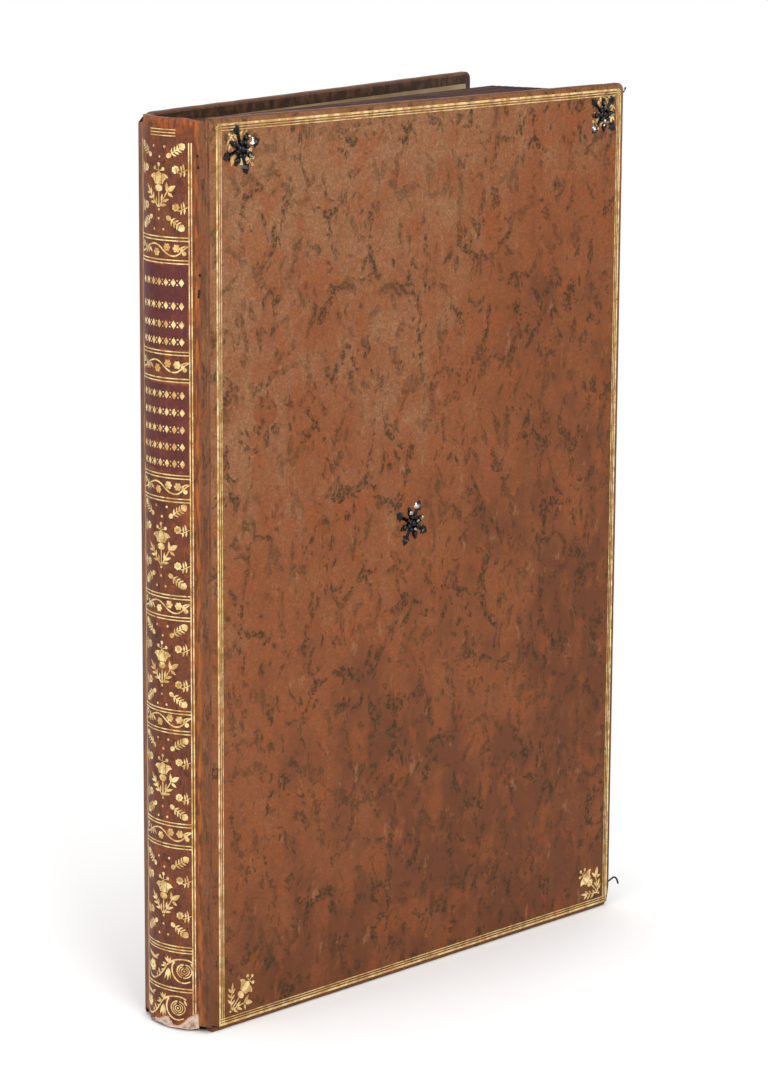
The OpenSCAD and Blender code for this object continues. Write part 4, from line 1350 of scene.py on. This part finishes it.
on_cover("cover_fillets", cover_fillets, [(0, 0, 0)], "front_cover")
on_cover("corner_fleurons", tulip, corner_places, "front_cover")

# Metal ornaments, nails and wire ends
# Three cast crosses, blackened and polished, are nailed over the gilt corners and the middle of the front
# cover: four long arms with barbed points, four short ones with beads, and a ring of beads round a boss. Two
# ends of wire stand in the fore edge.
ornament_h = 2.4 * mm
# Distances from an ornament's middle, in millimetres
arm_root, point_length, arm_lap = 3.0, 5.0, 0.4
short_arm_end = 5.4

black, g = new_material("blackened_metal")
spot = g.add("ShaderNodeTexCoord").outputs["Object"]
pits = g.noise(spot, 700, 4, 0.6)
# Bright patches where the blackening is worn to steel, which also serve as painted glints
worn = g.step(g.noise(spot, 230, 2), 0.58, 0.66)
g.finish({"Base Color": g.mix(worn, srgb(44, 42, 42), srgb(168, 160, 146)), "Metallic": 1.0,
          "Roughness": g.step(pits, 0.3, 0.7, 0.16, 0.34)}, pits, 0.25, 0.0002)
for node in ("wire_stubs", "ornament_nails"):
    dress(node, black)


def facets(made, place, points, faces):
    """A small faceted solid. Each point is a distance along the arm, across it, and off the cover."""
    verts = [made.verts.new(place @ (Vector(point) * mm)) for point in points]
    for face in faces:
        made.faces.new([verts[i] for i in face])


def bead(made, place, along_arm, r, rise):
    """A cast bead of radius r, its middle off the cover by the rise"""
    spot = place @ Matrix.Translation((along_arm * mm, 0, rise * mm))
    bmesh.ops.create_uvsphere(made, u_segments=14, v_segments=9, radius=r * mm, matrix=spot)


def arm_bar(made, place, start, end, half, rise):
    """A bar with a ridge, from start to end along an arm"""
    points = [(x, y, 0) for x in (start, end) for y in (-half, half)]
    points += [(start, 0, rise), (end, 0, rise * 0.8)]
    facets(made, place, points, [(0, 2, 5, 4), (1, 4, 5, 3), (0, 1, 3, 2), (0, 4, 1), (2, 3, 5)])


def barbed_point(made, place, root, tip):
    """A leaf-shaped point with two barbs and a sharp ridge"""
    span = tip - root
    outline = [(root, 0.95), (root + 0.14 * span, 2.9), (root + 0.36 * span, 1.8), (root + 0.56 * span, 2.2)]
    points = [(x, y, 0.0) for x, y in outline] + [(tip, 0, 0.1)]
    points += [(x, -y, 0.0) for x, y in reversed(outline)]
    ridge = [(root, 0, 1.0), (root + 0.4 * span, 0, 1.9), (root + 0.62 * span, 0, 1.5)]
    faces = [(0, 9, 10, 1), (1, 10, 2), (2, 10, 11, 3), (3, 11, 4), (8, 7, 10, 9), (7, 6, 10), (6, 5, 11, 10),
             (5, 4, 11), (0, 8, 9), (0, 1, 2, 3, 4, 5, 6, 7, 8)]
    facets(made, place, points + ridge, faces)


def ornament(name, node, x, z, turn, reach):
    """One cross at a place on the cover. Its two pairs of long arms may reach differently far."""
    made = bmesh.new()
    for quarter in range(4):
        long_arm = on_face(x, z, turn + 90 * quarter)
        short_arm = on_face(x, z, turn + 45 + 90 * quarter)
        tip = reach[quarter % 2]
        arm_bar(made, long_arm, arm_root, tip - point_length + arm_lap, 0.95, 1.5)
        barbed_point(made, long_arm, tip - point_length, tip)
        arm_bar(made, short_arm, arm_root, short_arm_end, 1.0, 1.3)
        bead(made, short_arm, 5.6, 1.55, 0.4)
        bead(made, short_arm, 7.5, 0.9, 0.25)
        for place in (long_arm, short_arm):
            bead(made, place, 3.2, 1.2, 0.9)
    bead(made, on_face(x, z), 0.0, 3.2, -1.6)
    bead(made, on_face(x, z), 0.0, 1.5, 0.9)
    bmesh.ops.recalc_face_normals(made, faces=made.faces)
    for vert in made.verts:
        vert.co.y = min(max(vert.co.y, front_y - ornament_h), front_y)
    thing = placed(name, finished(made, name, [black], crease=32))
    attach(thing, "front_cover")
    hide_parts(node)


ornament("head_joint_cross", "head_joint_ornament", 21.8, 415.0, 17, (12.4, 12.4))
ornament("head_fore_cross", "head_fore_ornament", 273.0, 415.0, 47, (12.4, 12.4))
ornament("centre_cross", "centre_ornament", 135.8, 226.2, -28, (12.4, 12.0))

size = {"cad": [list(corner) for corner in cad_box], "visual": [list(corner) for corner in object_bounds()]}
